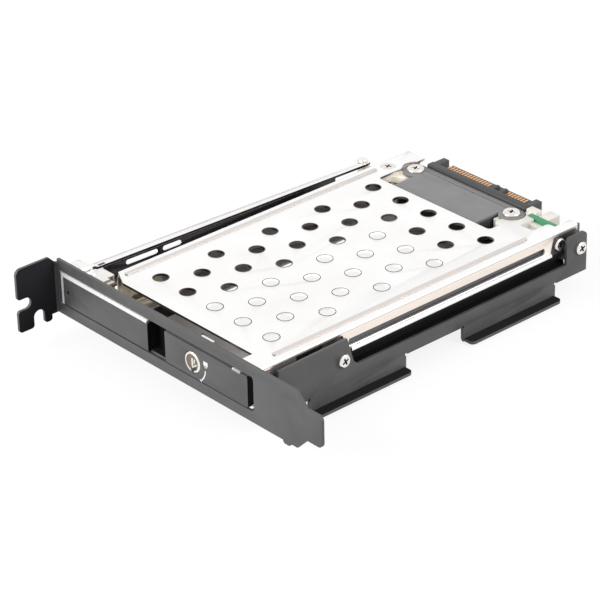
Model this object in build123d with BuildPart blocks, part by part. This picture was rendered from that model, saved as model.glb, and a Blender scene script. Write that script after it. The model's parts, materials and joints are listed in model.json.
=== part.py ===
from build123d import *
from math import atan2, degrees, sqrt
import os

# Expansion slot rack for one 2.5-inch drive.
# X runs along the faceplate from the tab's outer face to the tongue, Y runs back into
# the computer from the faceplate's front, Z runs up from the faceplate's lower edge.

# Slot bracket sheet
plate_t = 1.0
plate_length = 120.02
plate_h = 18.42
tongue_w = 10.19
tongue_length = 6.2
tongue_round = 1.6
tab_reach = 14.8
tab_rise = 0.88
tab_low = -2.0
tab_corner = 2.0
bend_outer = 1.4
relief_x = 1.6
relief_d = 1.52
notch_r = 1.9
notch_z = 7.2
notch_end = 9.9
arch_r = 2.0
arch_y = 7.2
arch_top = 3.3
finger_w = 2.8
lobe_set = 4.505
lobe_w = 3.2
lobe_drop = 1.0
lobe_round = 0.95

# Door opening in the faceplate
opening_left = 1.9
opening_over = 3.3
opening_h = 11.4
opening_round = 1.2

# Cage around the drive
drive_w = 69.85
drive_h = 9.5
sheet = 0.8
pin_play = 0.05
touch = 0.1
side_play = 0.175
top_play = 0.3
wall_gap = 0.2
cover_left = 14.3
cage_sink = 0.11
cover_front = 9.7
cover_nose = 3.0
cover_slant = 3.5
cover_slant_w = 6.7
cover_over = 4.4
hip_set = 8.1
cover_wall_h = 7.2
left_wall_h = 8.0
window_set = 18.1
window_left = 22.4
window_right_set = 15.9
window_cut = 2.3
window_corner = 1.3
nose_corner = 2.0
left_ear_over = 2.6
right_ear_inset = 6.1
right_ear_set = 9.2
right_ear_step_inset = 3.3
right_ear_step_set = 2.3
vent_d = 5.2
vent_pitch_x = 12.54
vent_pitch_y = 21.75
vent_first_x = 26.2
vent_first_y = 20.1
vent_columns = 5
vent_rows = 5
bead_w = 1.5
bead_h = 0.45
bead_inset = 3.4
wall_slot_w = 1.4
wall_slot_drop = 3.7
wall_slot_front = 39.3
wall_slot_set = 10.0
lip_reach = 0.9
lip_round = 0.72
lip_end_drop = 1.0
lip_h = 1.2
lip_front = 40.0
lip_set = 7.6
lip_rise = 1.5
wall_h = 1.4
base_over = 6.5
base_wall_front = 9.0
front_flange_low = 1.0
flange_inset = 6.0
floor_window_left = 30.0
floor_window_set = 14.1
floor_window_front = 26.0
floor_window_back_set = 23.0
floor_window_corner = 3.0
front_hole = (46.0, 52.5, 16.6, 19.4)
hinge_plate_reach = 5.7

# Side bracket on the right of the cage
bracket_gap = 2.1
bracket_front = 10.7
bracket_over = 6.6
bracket_up = 9.0
cheek_drop = 0.4
wall_slope = 1.6
front_step = 1.0
floor_clear = 0.1
bracket_drop = 5.4
cheek_back = 37.0
ledge_front = 41.0
ledge_w = 10.0
foot_drop = 5.0
foot_reach = 3.6
foot_spans = ((22.0, 60.4), (84.0, 123.8))
foot_bend = 1.2
foot_corner = 1.5
rear_tab_w = 9.0
rear_tab_up = 8.3
rear_tab_corner = 1.8
rear_low_corner = 0.9
flange_reach = 10.0
bracket_flange_low = 0.6

# Door and its hinge
door_gap = 0.4
door_left = 2.9
door_over = 0.8
door_t = 2.5
door_rib = 2.0
door_round = 0.8
lid_drop = 0.5
handle_right = 44.4
handle_t = 1.0
handle_edge = 0.15
recess_right = 52.3
recess_depth = 4.2
skin = 1.0
hinge_x = 9.3
hinge_y = 6.8
hinge_pin_r = 1.25
rivet_head_r = 1.7
rivet_head_h = 0.3
rivet_edge = 0.15
knuckle_r = 2.4
running = 0.1
seat_gap = 0.3
crank_r = 5.0
crank_pin_r = 0.75
crank_lug_r = 1.6
crank_lug_h = 2.5
hinge_plate_left = 2.7
hinge_plate_front = 1.9
hinge_plate_back = 4.4
hinge_plate_corner = 1.0
hinge_web_x = 0.3
hinge_arm_w = 1.6
knuckle_arm_w = 1.8
rib_end = 0.5
trim_w = 1.3
trim_round = 0.5
status_x = 6.3
status_drop = 0.71
status_r = 0.55
status_sink = 0.2
pipe_set = 6.5
pipe_w = 3.5
pipe_h = 0.8
pipe_round = 0.3
catch_t = 0.3
catch_seat = 3.0
catch_w = 2.6
catch_h = 1.8
catch_gap = 0.2
catch_sink = 0.3

# Lock in the door
lock_x = 64.7
lock_drop = 0.41
lock_ring_r = 3.35
lock_body_r = 2.95
lock_core_r = 2.5
lock_seat = 0.6
lock_length = 6.0
lock_ring_t = 0.2
lock_ring_edge = 0.25
lock_boss_wall = 0.9
lock_nut_r = 4.4
tang_w = 2.6
cam_length = 7.8
cam_w = 3.6
cam_t = 1.2
cam_eye_wall = 0.8
cam_head_wall = 0.3
cam_corner = 1.0
cam_room = 0.6
cam_play = 0.2
cam_screw_h = 0.9
key_slot_l = 3.2
key_slot_w = 0.8
key_notch_r = 0.6

# Eject rod and lever on the left of the cage
rod_w = 2.8
rod_start_x = 4.9
rod_skew = 0.0425
rod_web_h = 7.7
rod_web_front = 12.5
rod_web_set = 17.1
rod_step = 1.6
rod_tab_front = 1.5
rod_tab_back = 7.2
rod_tab_left = 2.3
rod_tab_right = 8.2
rod_eye_r = 2.6
rod_gap_h = 1.6
rod_gap_drop = 1.4
rod_gaps = ((21.0, 33.0), (35.0, 42.0))
guide_ys = (33.0, 93.0)
guide_w = 6.0
guide_hook_h = 2.2
lever_x = 18.2
lever_set = 9.9
lever_rod_arm = 8.77
lever_finger_arm = 5.2
lever_finger_r = 1.2
lever_pivot_r = 1.25
lever_post_r = 1.9
lever_pin_r = 0.9
lever_boss_r = 3.2
lever_arm_wall = 1.1
lever_foot_up = 1.0
lever_head_r = 2.48
lever_t = 2.0
lever_pad_r = 2.4
pin_head_r = 1.6
pin_head_h = 0.6
pin_edge = 0.2

# Connector at the back
plug_left = 26.0
plug_right = 69.9
plug_front = 131.0
plug_t = 2.7
plug_up = 10.7
plug_foot_up = 2.6
plug_reach = 7.6
plug_arm_w = 2.5
plug_arm_drop = 0.3
plug_step_w = 2.6
plug_step_l = 1.8
blade_inset = 1.6
plug_lead = 0.4
blade_t = 1.2
blade_up = 8.5
pin_pitch = 1.27
power_pins = 15
signal_pins = 7
contact_w = 0.75
contact_l = 4.2
contact_t = 0.15
power_first_x = 30.8
signal_first_x = 56.9
shield_set = 20.0
shield_crease_set = 4.1
shield_line = 0.15
lug_r = 4.2
lug_t = 1.0
left_lug_x = 25.2
right_lug_x = 68.2
lug_set = 4.3
board_t = 1.6
board_left = 24.0
board_right = 84.6
board_step_x = 72.7
board_up = 10.0
board_lift = 0.3
pan_head_r = 2.83
pan_head_h = 0.9
pan_edge = 0.35
post_r = 1.5
side_head_r = 2.1
side_head_h = 1.2
cross_l = 2.4
cross_w = 0.6
cross_d = 0.6
cross_turn = 25
lug_screw_r = 0.9
lug_screw_l = 4.0
socket_set = 16.0
socket_left = 28.0
socket_w = 36.5
socket_lift = 1.6
socket_wall = 1.5
socket_mouth_z = 4.6
socket_mouth_h = 2.6
socket_mouth_l = 5.0
socket_lead = 0.8
key_first_x = 51.2
key_pitch = 3.6
key_w = 1.3
key_up = 10.1
key_set_back = 1.0
header_x = 75.2
header_w = 4.0
header_l = 5.9
header_foot_up = 3.0
header_up = 9.6
guide_left = 65.1
guide_set = 12.3
guide_top_left = 68.4
guide_top_right = 75.5
guide_end = 81.0
guide_ledge_set = 4.0
guide_arm_up = 7.6
guide_corner = 1.2
tower_left = 70.3
tower_right = 74.5
tower_over = 2.8
tower_up = 10.7
tower_foot_up = 4.6
spring_front = 13.4
spring_pitch = 3.0
spring_l = 15.0
spring_window_gap = 0.5
spring_wave = 0.3
spring_seat = 0.3
spring_t = 0.3
spring_lift = 1.4
spring_drop = 1.1
screw_shank_r = 1.2
front_screw_y = 35.2
front_screw_up = 2.6
rear_screw_set = 3.2
rear_screw_up = 3.4
cage_screw_set = 3.1
cage_screw_up = 5.8
hinge_ear_w = 3.0
hinge_ear_back = 5.0
lever_room = 11.0

# Places worked out from the driving sizes
plate_mid = plate_h / 2
shoulder_cut = (plate_h - tongue_w) / 2
shoulder_x = plate_length - tongue_length - shoulder_cut
lobe_x = shoulder_x - lobe_set
tab_top = plate_h + tab_rise
relief_z = plate_h - relief_d
opening_low = plate_mid - opening_h / 2
opening_high = plate_mid + opening_h / 2
door_low = opening_low + door_gap
door_high = opening_high - door_gap
cover_w = drive_w + 2 * (side_play + sheet + wall_gap + sheet)
cover_right = cover_left + cover_w
opening_right = cover_right + opening_over
door_right = cover_right + door_over
cover_hip = cover_right - hip_set
window_right = cover_right - window_right_set
right_ear_x = cover_right - right_ear_inset
right_ear_step_x = cover_right - right_ear_step_inset
bracket_x = cover_right + bracket_gap
pipe_left = door_right - pipe_set
socket_right = socket_left + socket_w
floor_window_right = cover_right - floor_window_set
floor_window_back = plug_front - floor_window_back_set
floor_top = opening_low - cage_sink
floor_low = floor_top - sheet
cover_under = floor_top + drive_h + top_play
cover_top = cover_under + sheet
cover_back = plug_front + cover_over
window_front = plug_front - window_set
left_ear_back = plug_front + left_ear_over
right_ear_y = plug_front - right_ear_set
right_ear_step_y = plug_front - right_ear_step_set
wall_slot_z = cover_top - wall_slot_drop
wall_slot_back = plug_front - wall_slot_set
lip_back = plug_front - lip_set
base_back = plug_front + base_over
base_left = cover_left + sheet + wall_gap
base_right = cover_right - sheet - wall_gap
base_wall_top = cover_under - wall_gap
bracket_in = bracket_x - plate_t
bracket_back = plug_front + bracket_over
bracket_top = floor_top + bracket_up
bracket_low = floor_top - bracket_drop
rear_tab_top = floor_top + rear_tab_up
status_z = plate_mid - status_drop
lock_z = plate_mid - lock_drop
foot_low = bracket_low - foot_drop
rear_tab_front = bracket_back - rear_tab_w
crank_offset = crank_r / sqrt(2)
crank_x = hinge_x - crank_offset
crank_y = hinge_y - crank_offset
rod_travel = 2 * crank_offset
rod_low = cover_under
rod_top = cover_top
lever_y = plug_front - lever_set
rod_web_back = lever_y - rod_web_set
shield_top = cover_under - 0.1
shield_low = shield_top - lug_t
lever_top = shield_low - seat_gap
lever_low = lever_top - lever_t
lever_pin_y = lever_y - rod_travel / 2
lever_pin_x = lever_x - sqrt(lever_rod_arm**2 - (rod_travel / 2) ** 2)
front_screw = (front_screw_y, floor_top + front_screw_up)
rear_screw = (bracket_back - rear_screw_set, floor_top + rear_screw_up)
cage_screw = (plug_front - cage_screw_set, floor_top + cage_screw_up)
side_screw_hole_r = screw_shank_r + pin_play
cam_back = lock_length + cam_play + cam_t
rod_tab_low = opening_high - door_gap + seat_gap
rod_tab_top = rod_tab_low + sheet
lever_slot_l = lever_rod_arm - (lever_x - lever_pin_x)
rod_eye_x = lever_pin_x - lever_slot_l / 2
finger_x = lever_x + lever_finger_arm * (lever_x - lever_pin_x) / lever_rod_arm
finger_y = lever_y + lever_finger_arm * rod_travel / 2 / lever_rod_arm
board_front = plug_front - board_t
board_top = floor_top + board_up
plug_top = floor_top + plug_up
plug_low = floor_top + plug_foot_up
blade_z = floor_top + blade_up
key_top = floor_top + key_up
shield_front = plug_front - shield_set
shield_crease = plug_front - shield_crease_set
lug_y = plug_front - lug_set
socket_front = plug_front - socket_set
header_low = floor_top + header_foot_up
header_top = floor_top + header_up
guide_front = plug_front - guide_set
guide_ledge_front = plug_front - guide_ledge_set
guide_low = floor_top + guide_arm_up
tower_back = plug_front + tower_over
tower_top = floor_top + tower_up
tower_low = floor_top + tower_foot_up
spring_back = spring_front + spring_l
shield_back = plug_front - shield_line

# A cylinder stands on its place or hangs below it
above = (Align.CENTER, Align.CENTER, Align.MIN)
below = (Align.CENTER, Align.CENTER, Align.MAX)

os.makedirs("parts", exist_ok=True)


def span(x0, x1, y0, y1, mode=Mode.ADD):
    """Draw a rectangle between two corners of the sketch."""
    with Locations(((x0 + x1) / 2, (y0 + y1) / 2)):
        Rectangle(x1 - x0, y1 - y0, mode=mode)


def slab(x0, x1, y0, y1, z0, z1, mode=Mode.ADD):
    """Extrude a plan rectangle between two heights of the part."""
    with BuildSketch(Plane.XY.offset(z0)) as plan:
        span(x0, x1, y0, y1)
    extrude(plan.sketch, amount=z1 - z0, mode=mode)


def rod_left(y):
    """Left edge of the skewed eject rod at a distance behind the faceplate."""
    return rod_start_x + rod_skew * (y - rod_tab_back)


def make_hull_arm(x0, y0, x1, y1, r):
    """Draw a straight arm with round ends between two centres."""
    length = sqrt((x1 - x0) ** 2 + (y1 - y0) ** 2)
    with Locations(((x0 + x1) / 2, (y0 + y1) / 2)):
        SlotCenterToCenter(length, 2 * r, rotation=degrees(atan2(y1 - y0, x1 - x0)))


def finish(node, label):
    """Label a finished piece and write its file."""
    node.part.label = label
    export_step(node.part, f"parts/{label}.step")


# Slot bracket: faceplate, tongue and screw tab folded from one sheet
with BuildPart() as slot_bracket:
    with BuildSketch(Plane.XZ.offset(-plate_t)) as face_outline:
        with BuildLine():
            Polyline(
                (0, 0),
                (shoulder_x, 0),
                (shoulder_x + shoulder_cut, shoulder_cut),
                (plate_length, shoulder_cut),
                (plate_length, plate_h - shoulder_cut),
                (shoulder_x + shoulder_cut, plate_h - shoulder_cut),
                (shoulder_x, plate_h),
                (relief_x, plate_h),
                (relief_x, relief_z),
                (0, relief_z),
                close=True,
            )
        make_face()
        fillet(face_outline.vertices().group_by(Axis.X)[-1], tongue_round)
        with Locations((lobe_x, 0)):
            RectangleRounded(lobe_w, 2 * lobe_drop, lobe_round)
        with Locations(((opening_left + opening_right) / 2, plate_mid)):
            RectangleRounded(opening_right - opening_left, opening_h, opening_round, mode=Mode.SUBTRACT)
    extrude(amount=plate_t)
    with BuildSketch(Plane.YZ) as tab_outline:
        with BuildLine():
            Polyline(
                (plate_t, 0),
                (plate_t, relief_z),
                (0, relief_z),
                (-(tab_top - relief_z), tab_top),
                (-tab_reach, tab_top),
                (-tab_reach, tab_low),
                (-arch_y - arch_r, tab_low),
                (-arch_y - arch_r, 0),
                (-arch_y + arch_r, 0),
                (-arch_y + arch_r, tab_low),
                (-arch_y + arch_r + finger_w, tab_low),
                (-arch_y + arch_r + finger_w, 0),
                close=True,
            )
        make_face()
        fillet(tab_outline.vertices().group_by(Axis.Y)[0], arch_r / 2)
        fillet(tab_outline.vertices().group_by(Axis.Y)[-1].sort_by(Axis.X)[0], tab_corner)
        with Locations((-arch_y, arch_top - arch_r)):
            Circle(arch_r, mode=Mode.SUBTRACT)
        span(-arch_y - arch_r, -arch_y + arch_r, 0, arch_top - arch_r, Mode.SUBTRACT)
        with Locations((-notch_end - notch_r, notch_z)):
            Circle(notch_r, mode=Mode.SUBTRACT)
        span(-tab_reach, -notch_end - notch_r, notch_z - notch_r, notch_z + notch_r, Mode.SUBTRACT)
        mouth = tab_outline.vertices().group_by(Axis.X)[0].sort_by(Axis.Y)[1:3]
        fillet(mouth, notch_r / 2)
    extrude(amount=plate_t)
    uprights = slot_bracket.edges().filter_by(Axis.Z)
    fillet(uprights.filter_by_position(Axis.X, -touch, touch).sort_by(Axis.Y)[-1], bend_outer)
finish(slot_bracket, "slot_bracket")

# Side bracket: wall beside the cage, ledge under it, turned feet and a front flange
with BuildPart() as side_bracket:
    with BuildSketch(Plane.YZ.offset(bracket_in)) as wall_outline:
        with BuildLine():
            Polyline(
                (plate_t, bracket_flange_low),
                (bracket_front, bracket_low),
                (bracket_back, bracket_low),
                (bracket_back, rear_tab_top),
                (rear_tab_front, rear_tab_top),
                (rear_tab_front, floor_low),
                (ledge_front, floor_low),
                (ledge_front - wall_slope, floor_low + wall_slope),
                (cheek_back, bracket_top),
                (bracket_front, bracket_top - cheek_drop),
                (bracket_front - front_step, floor_top),
                (plate_t, floor_top - floor_clear),
                close=True,
            )
        make_face()
        corners = wall_outline.vertices()
        rear_tab = corners.filter_by_position(Axis.X, rear_tab_front - touch, bracket_back + touch)
        fillet(rear_tab.group_by(Axis.Y)[-1], rear_tab_corner)
        fillet(rear_tab.group_by(Axis.Y)[0], rear_low_corner)
        for foot_front, foot_back in foot_spans:
            span(foot_front, foot_back, foot_low, bracket_low)
        for foot_front, foot_back in foot_spans:
            with Locations((foot_front, bracket_low), (foot_back, bracket_low)):
                Circle(plate_t / 2, mode=Mode.SUBTRACT)
        with Locations(front_screw, rear_screw):
            Circle(side_screw_hole_r, mode=Mode.SUBTRACT)
    extrude(amount=plate_t)
    slab(bracket_x - ledge_w, bracket_x, ledge_front, rear_tab_front, floor_low - plate_t, floor_low)
    slab(bracket_in, bracket_x + flange_reach, plate_t, 2 * plate_t,
         bracket_flange_low, floor_top - floor_clear)
    for foot_front, foot_back in foot_spans:
        foot_clear = plate_t / 2
        slab(bracket_in, bracket_x + foot_reach, foot_front + foot_clear, foot_back - foot_clear,
             foot_low, foot_low + plate_t)
    outer = side_bracket.edges().filter_by(Axis.Z).filter_by_position(Axis.Z, foot_low, bracket_low)
    foot_end = bracket_x + foot_reach
    fillet(outer.filter_by_position(Axis.X, foot_end - touch, foot_end + touch), foot_corner)
    along = side_bracket.edges().filter_by(Axis.Y).group_by(Axis.Z)[0]
    fillet(along.filter_by_position(Axis.X, bracket_in - touch, bracket_in + touch), foot_bend)
finish(side_bracket, "side_bracket")

# Cage base: floor with its window, two side walls, hinge ear, rod guides and screw bosses
with BuildPart() as cage_base:
    with BuildSketch(Plane.XY.offset(floor_low)) as floor_outline:
        span(base_left, base_right, plate_t, base_back)
        span(hinge_x - hinge_ear_w, base_left, hinge_y - hinge_ear_w, hinge_y + hinge_ear_back)
        floor_window_w = floor_window_right - floor_window_left
        floor_window_l = floor_window_back - floor_window_front
        with Locations((floor_window_left + floor_window_w / 2, floor_window_front + floor_window_l / 2)):
            RectangleRounded(floor_window_w, floor_window_l, floor_window_corner, mode=Mode.SUBTRACT)
        span(*front_hole, mode=Mode.SUBTRACT)
        span(lock_x - cam_length - cam_room, lock_x + cam_w / 2 + cam_room, lock_length + touch,
             cam_back + cam_room - touch, Mode.SUBTRACT)
        with Locations((hinge_x, hinge_y)):
            Circle(hinge_pin_r + pin_play, mode=Mode.SUBTRACT)
        with Locations((lever_x, lever_y), (left_lug_x, lug_y)):
            Circle(screw_shank_r + pin_play, mode=Mode.SUBTRACT)
    extrude(amount=sheet)
    slab(base_left + flange_inset, base_right - flange_inset, plate_t, plate_t + sheet,
         front_flange_low, floor_low)
    with BuildSketch(Plane.YZ.offset(base_left)):
        span(hinge_y + hinge_ear_back, lever_y - lever_room, floor_low, base_wall_top)
        span(lever_y - lever_room, base_back, floor_low, lever_low - seat_gap)
        span(spring_front - spring_window_gap, spring_back + spring_window_gap,
             floor_top + spring_lift, base_wall_top - spring_drop, Mode.SUBTRACT)
    extrude(amount=sheet)
    with BuildSketch(Plane.YZ.offset(base_right - sheet)):
        span(base_wall_front, base_back, floor_low, base_wall_top)
        with Locations(front_screw, rear_screw, cage_screw):
            Circle(side_screw_hole_r, mode=Mode.SUBTRACT)
    extrude(amount=sheet)
    with BuildSketch(Plane.YZ.offset(base_right)):
        with Locations(front_screw, rear_screw):
            Circle(2 * screw_shank_r)
            Circle(side_screw_hole_r, mode=Mode.SUBTRACT)
    extrude(amount=bracket_in - base_right)
    guide_top = cover_top - rod_web_h - seat_gap
    for guide_y in guide_ys:
        hook_x = rod_left(guide_y) + rod_w - sheet - rod_skew * rod_travel - seat_gap
        slab(hook_x - sheet, base_left, guide_y, guide_y + guide_w, guide_top - sheet, guide_top)
        slab(hook_x - sheet, hook_x, guide_y, guide_y + guide_w, guide_top, guide_top + guide_hook_h)
finish(cage_base, "cage_base")

# Cage cover: perforated top, folded walls, rolled lip and shaped rear ears
with BuildPart() as cage_cover:
    with BuildSketch(Plane.XY.offset(cover_under)) as cover_outline:
        with BuildLine():
            Polyline(
                (cover_left, cover_front + cover_slant),
                (cover_left + cover_slant_w, cover_front),
                (cover_hip, cover_front),
                (cover_hip, cover_nose),
                (cover_right, cover_nose),
                (cover_right, cover_back),
                (right_ear_step_x, cover_back),
                (right_ear_step_x, right_ear_step_y),
                (right_ear_x, right_ear_step_y),
                (right_ear_x, right_ear_y),
                (window_right + window_cut, right_ear_y),
                (window_right, right_ear_y - window_cut),
                (window_right, window_front),
                (window_left, window_front),
                (window_left, left_ear_back),
                (cover_left, left_ear_back),
                close=True,
            )
        make_face()
        with Locations((left_lug_x, lug_y)):
            Circle(lug_r + seat_gap, mode=Mode.SUBTRACT)
        soft = cover_outline.vertices().filter_by_position(Axis.X, window_left - touch, right_ear_x + touch)
        fillet(soft.filter_by_position(Axis.Y, window_front - touch, left_ear_back - touch), window_corner)
        hip = soft.filter_by_position(Axis.Y, cover_front - touch, cover_front + touch).sort_by(Axis.X)[-1]
        fillet(hip, nose_corner)
    extrude(amount=sheet)
    with BuildSketch(Plane.YZ.offset(cover_right - sheet)) as right_wall:
        with BuildLine():
            Polyline(
                (cover_nose, cover_top - wall_h),
                (cheek_back, cover_top - wall_h),
                (lip_front, cover_top - cover_wall_h),
                (lip_back, cover_top - cover_wall_h),
                (lip_back + lip_rise, cover_top - wall_h),
                (cover_back - wall_h, cover_top - wall_h),
                (cover_back, cover_top - wall_h - lip_end_drop),
                (cover_back, cover_top),
                (cover_nose, cover_top),
                close=True,
            )
        make_face()
        with Locations(((wall_slot_front + wall_slot_back) / 2, wall_slot_z)):
            SlotOverall(wall_slot_back - wall_slot_front, wall_slot_w, mode=Mode.SUBTRACT)
    extrude(amount=sheet)
    slab(cover_left, cover_left + sheet, cover_front + cover_slant, lever_y - lever_room,
         cover_top - left_wall_h, cover_under)
    slab(cover_right, cover_right + lip_reach, lip_front, lip_back,
         cover_top - cover_wall_h, cover_top - cover_wall_h + lip_h)
    folds = cage_cover.edges().filter_by(Axis.Y)
    fillet(folds.group_by(Axis.X)[-1].group_by(Axis.Z)[-1], lip_round)
    with BuildSketch(Plane.XY.offset(cover_top)):
        for bead_x in (cover_left + bead_inset, cover_right - bead_inset):
            with Locations((bead_x, (cover_front + window_front) / 2 + cover_slant)):
                SlotOverall(window_front - cover_front, bead_w, rotation=90)
    extrude(amount=bead_h)
    with BuildSketch(Plane.XY.offset(cover_under)):
        vent_mid_x = vent_first_x + vent_pitch_x * (vent_columns - 1) / 2
        vent_mid_y = vent_first_y + vent_pitch_y * (vent_rows - 1) / 2
        with Locations((vent_mid_x, vent_mid_y)):
            with GridLocations(vent_pitch_x, vent_pitch_y, vent_columns, vent_rows):
                Circle(vent_d / 2)
            with GridLocations(vent_pitch_x, vent_pitch_y, vent_columns - 1, vent_rows - 1):
                Circle(vent_d / 2)
    extrude(amount=sheet, mode=Mode.SUBTRACT)
    with Locations(Plane.XY.offset(cover_top) * Location((lever_x, lever_y, 0))):
        CounterSinkHole(lever_pivot_r + pin_play, lever_head_r + pin_play, depth=sheet)
finish(cage_cover, "cage_cover")

# Hinge bracket: a channel whose two plates hold the door's pin
with BuildPart() as hinge_bracket:
    with BuildSketch(Plane.XY.offset(floor_top)) as hinge_plan:
        with BuildLine():
            Polyline(
                (hinge_x - hinge_plate_left, hinge_y - hinge_plate_front),
                (base_left - wall_gap, hinge_y - hinge_plate_front),
                (base_left - wall_gap, hinge_y + hinge_plate_back),
                (hinge_x - hinge_web_x, hinge_y + hinge_plate_back),
                (hinge_x - hinge_web_x, hinge_y + knuckle_r),
                (hinge_x - hinge_plate_left, hinge_y + knuckle_r),
                close=True,
            )
        make_face()
        fillet(hinge_plan.vertices().group_by(Axis.X)[0], hinge_plate_corner)
    extrude(amount=cover_top - floor_top)
    slab(base_left - wall_gap, cover_left + hinge_plate_reach,
         hinge_y - hinge_plate_front, hinge_y + hinge_arm_w, cover_under, cover_top)
    slab(0, cover_left + hinge_plate_reach, 0, hinge_y + hinge_plate_back - sheet,
         floor_top + sheet, cover_under, Mode.SUBTRACT)
    with Locations((hinge_x, hinge_y, floor_top)):
        Hole(hinge_pin_r + pin_play)
    chamfer(hinge_bracket.faces().sort_by(Axis.Z)[-1].edges().sort_by(Axis.Y)[0], sheet / 2)
finish(hinge_bracket, "hinge_bracket")

with BuildPart() as hinge_pin:
    with Locations((hinge_x, hinge_y, floor_low)):
        Cylinder(hinge_pin_r, cover_top - floor_low, align=above)
    with Locations((hinge_x, hinge_y, cover_top)):
        Cylinder(rivet_head_r, rivet_head_h, align=above)
    chamfer(hinge_pin.edges().group_by(Axis.Z)[-1], rivet_edge)
finish(hinge_pin, "hinge_pin")

# Door frame: front skin, finger pocket, stiffening ribs, hinge knuckle and crank lug
with BuildPart() as door_frame:
    with BuildSketch(Plane.XZ.offset(-door_t)) as frame_outline:
        span(door_left, door_right, door_low, door_high)
        fillet(frame_outline.vertices().group_by(Axis.X)[-1], door_round)
    extrude(amount=door_t - handle_t)
    with BuildSketch(Plane.XZ.offset(-handle_t)) as lid_outline:
        span(recess_right, door_right, door_low, door_high - lid_drop)
        fillet(lid_outline.vertices().group_by(Axis.X)[-1], door_round)
    extrude(amount=handle_t)
    slab(handle_right - skin, recess_right + skin, door_t, recess_depth + skin, door_low, door_high)
    for rib_low in (door_low, door_high - skin):
        slab(base_left, handle_right, door_t, door_t + door_rib, rib_low, rib_low + skin)
        slab(recess_right, cover_hip - rib_end, door_t, door_t + door_rib, rib_low, rib_low + skin)
    slab(handle_right, recess_right, 0, recess_depth, door_low + skin / 2, door_high - skin / 2,
         Mode.SUBTRACT)
    with BuildSketch(Plane.XZ.offset(-door_t)):
        with Locations((lock_x, lock_z)):
            Circle(lock_body_r + lock_boss_wall)
    extrude(amount=-door_rib)
    with Locations(Plane.XZ * Location((lock_x, lock_z, 0))):
        CounterBoreHole(lock_body_r + pin_play, lock_ring_r + running, lock_seat,
                        depth=2 * (door_t + door_rib))
    with BuildSketch(Plane.XY.offset(floor_top + sheet + seat_gap)) as knuckle:
        with Locations((hinge_x, hinge_y)):
            Circle(knuckle_r)
        span(hinge_x - knuckle_arm_w, hinge_x + knuckle_r, door_t, hinge_y)
        with Locations((hinge_x, hinge_y)):
            Circle(hinge_pin_r + running, mode=Mode.SUBTRACT)
    extrude(amount=cover_under - floor_top - sheet - 2 * seat_gap)
    crank_top = cover_under - seat_gap
    with BuildSketch(Plane.XY.offset(crank_top - crank_lug_h)):
        with Locations((crank_x, crank_y)):
            Circle(crank_lug_r)
            Circle(crank_pin_r + pin_play, mode=Mode.SUBTRACT)
    extrude(amount=crank_lug_h)
    with BuildSketch(Plane.XY.offset(crank_top - crank_lug_h)):
        with Locations((crank_x, crank_y)):
            Circle(crank_pin_r + pin_play)
    extrude(amount=crank_lug_h, mode=Mode.SUBTRACT)
    slab(pipe_left, pipe_left + pipe_w, 0, door_t, door_high - pipe_h, door_high, Mode.SUBTRACT)
finish(door_frame, "door_frame")

with BuildPart() as handle_plate:
    slab(door_left + trim_w, handle_right, 0, handle_t, door_low, door_high - trim_w)
    with Locations(Plane.XZ * Location((status_x, status_z, 0))):
        Hole(status_r + pin_play, depth=4 * handle_t)
    front = handle_plate.faces().sort_by(Axis.Y)[0]
    chamfer(front.edges().filter_by(GeomType.LINE), handle_edge)
finish(handle_plate, "handle_plate")

# Bright trim: one strip along the handle's top edge and down its left edge
with BuildPart() as trim_strip:
    with BuildSketch(Plane.XZ.offset(-handle_t)):
        with BuildLine():
            Polyline(
                (door_left, door_low),
                (door_left + trim_w, door_low),
                (door_left + trim_w, door_high - trim_w),
                (handle_right - trim_w / 2, door_high - trim_w),
                (handle_right, door_high),
                (door_left, door_high),
                close=True,
            )
        make_face()
    extrude(amount=handle_t)
    fillet(trim_strip.edges().filter_by(Axis.Z).group_by(Axis.X)[0].sort_by(Axis.Y)[0], trim_round)
finish(trim_strip, "trim_strip")

with BuildPart() as status_lens:
    with BuildSketch(Plane.XZ.offset(-handle_t)):
        with Locations((status_x, status_z)):
            Circle(status_r)
    extrude(amount=handle_t - status_sink)
finish(status_lens, "status_lens")

with BuildPart() as light_pipe:
    slab(pipe_left, pipe_left + pipe_w, -touch, door_t, door_high - pipe_h, door_high + touch)
    fillet(light_pipe.edges().filter_by(Axis.Y).group_by(Axis.Z)[-1], pipe_round)
finish(light_pipe, "light_pipe")

# Key lock: ringed barrel, nut, turning core, cam and its screw
with BuildPart() as lock_barrel:
    with BuildSketch(Plane.XZ.offset(-lock_seat)):
        with Locations((lock_x, lock_z)):
            Circle(lock_ring_r)
    extrude(amount=lock_seat + lock_ring_t)
    with BuildSketch(Plane.XZ.offset(-lock_length)):
        with Locations((lock_x, lock_z)):
            Circle(lock_body_r)
    extrude(amount=lock_length)
    chamfer(lock_barrel.faces().sort_by(Axis.Y)[0].edges(), lock_ring_edge)
    with Locations(Plane.XZ * Location((lock_x, lock_z, 0))):
        Hole(lock_core_r + running, depth=2 * lock_length)
finish(lock_barrel, "lock_barrel")

with BuildPart() as lock_nut:
    with BuildSketch(Plane.XZ.offset(-lock_length)):
        with Locations((lock_x, lock_z)):
            RegularPolygon(lock_nut_r, 6)
            Circle(lock_body_r + pin_play, mode=Mode.SUBTRACT)
    extrude(amount=lock_length - door_t - door_rib)
finish(lock_nut, "lock_nut")

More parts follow.
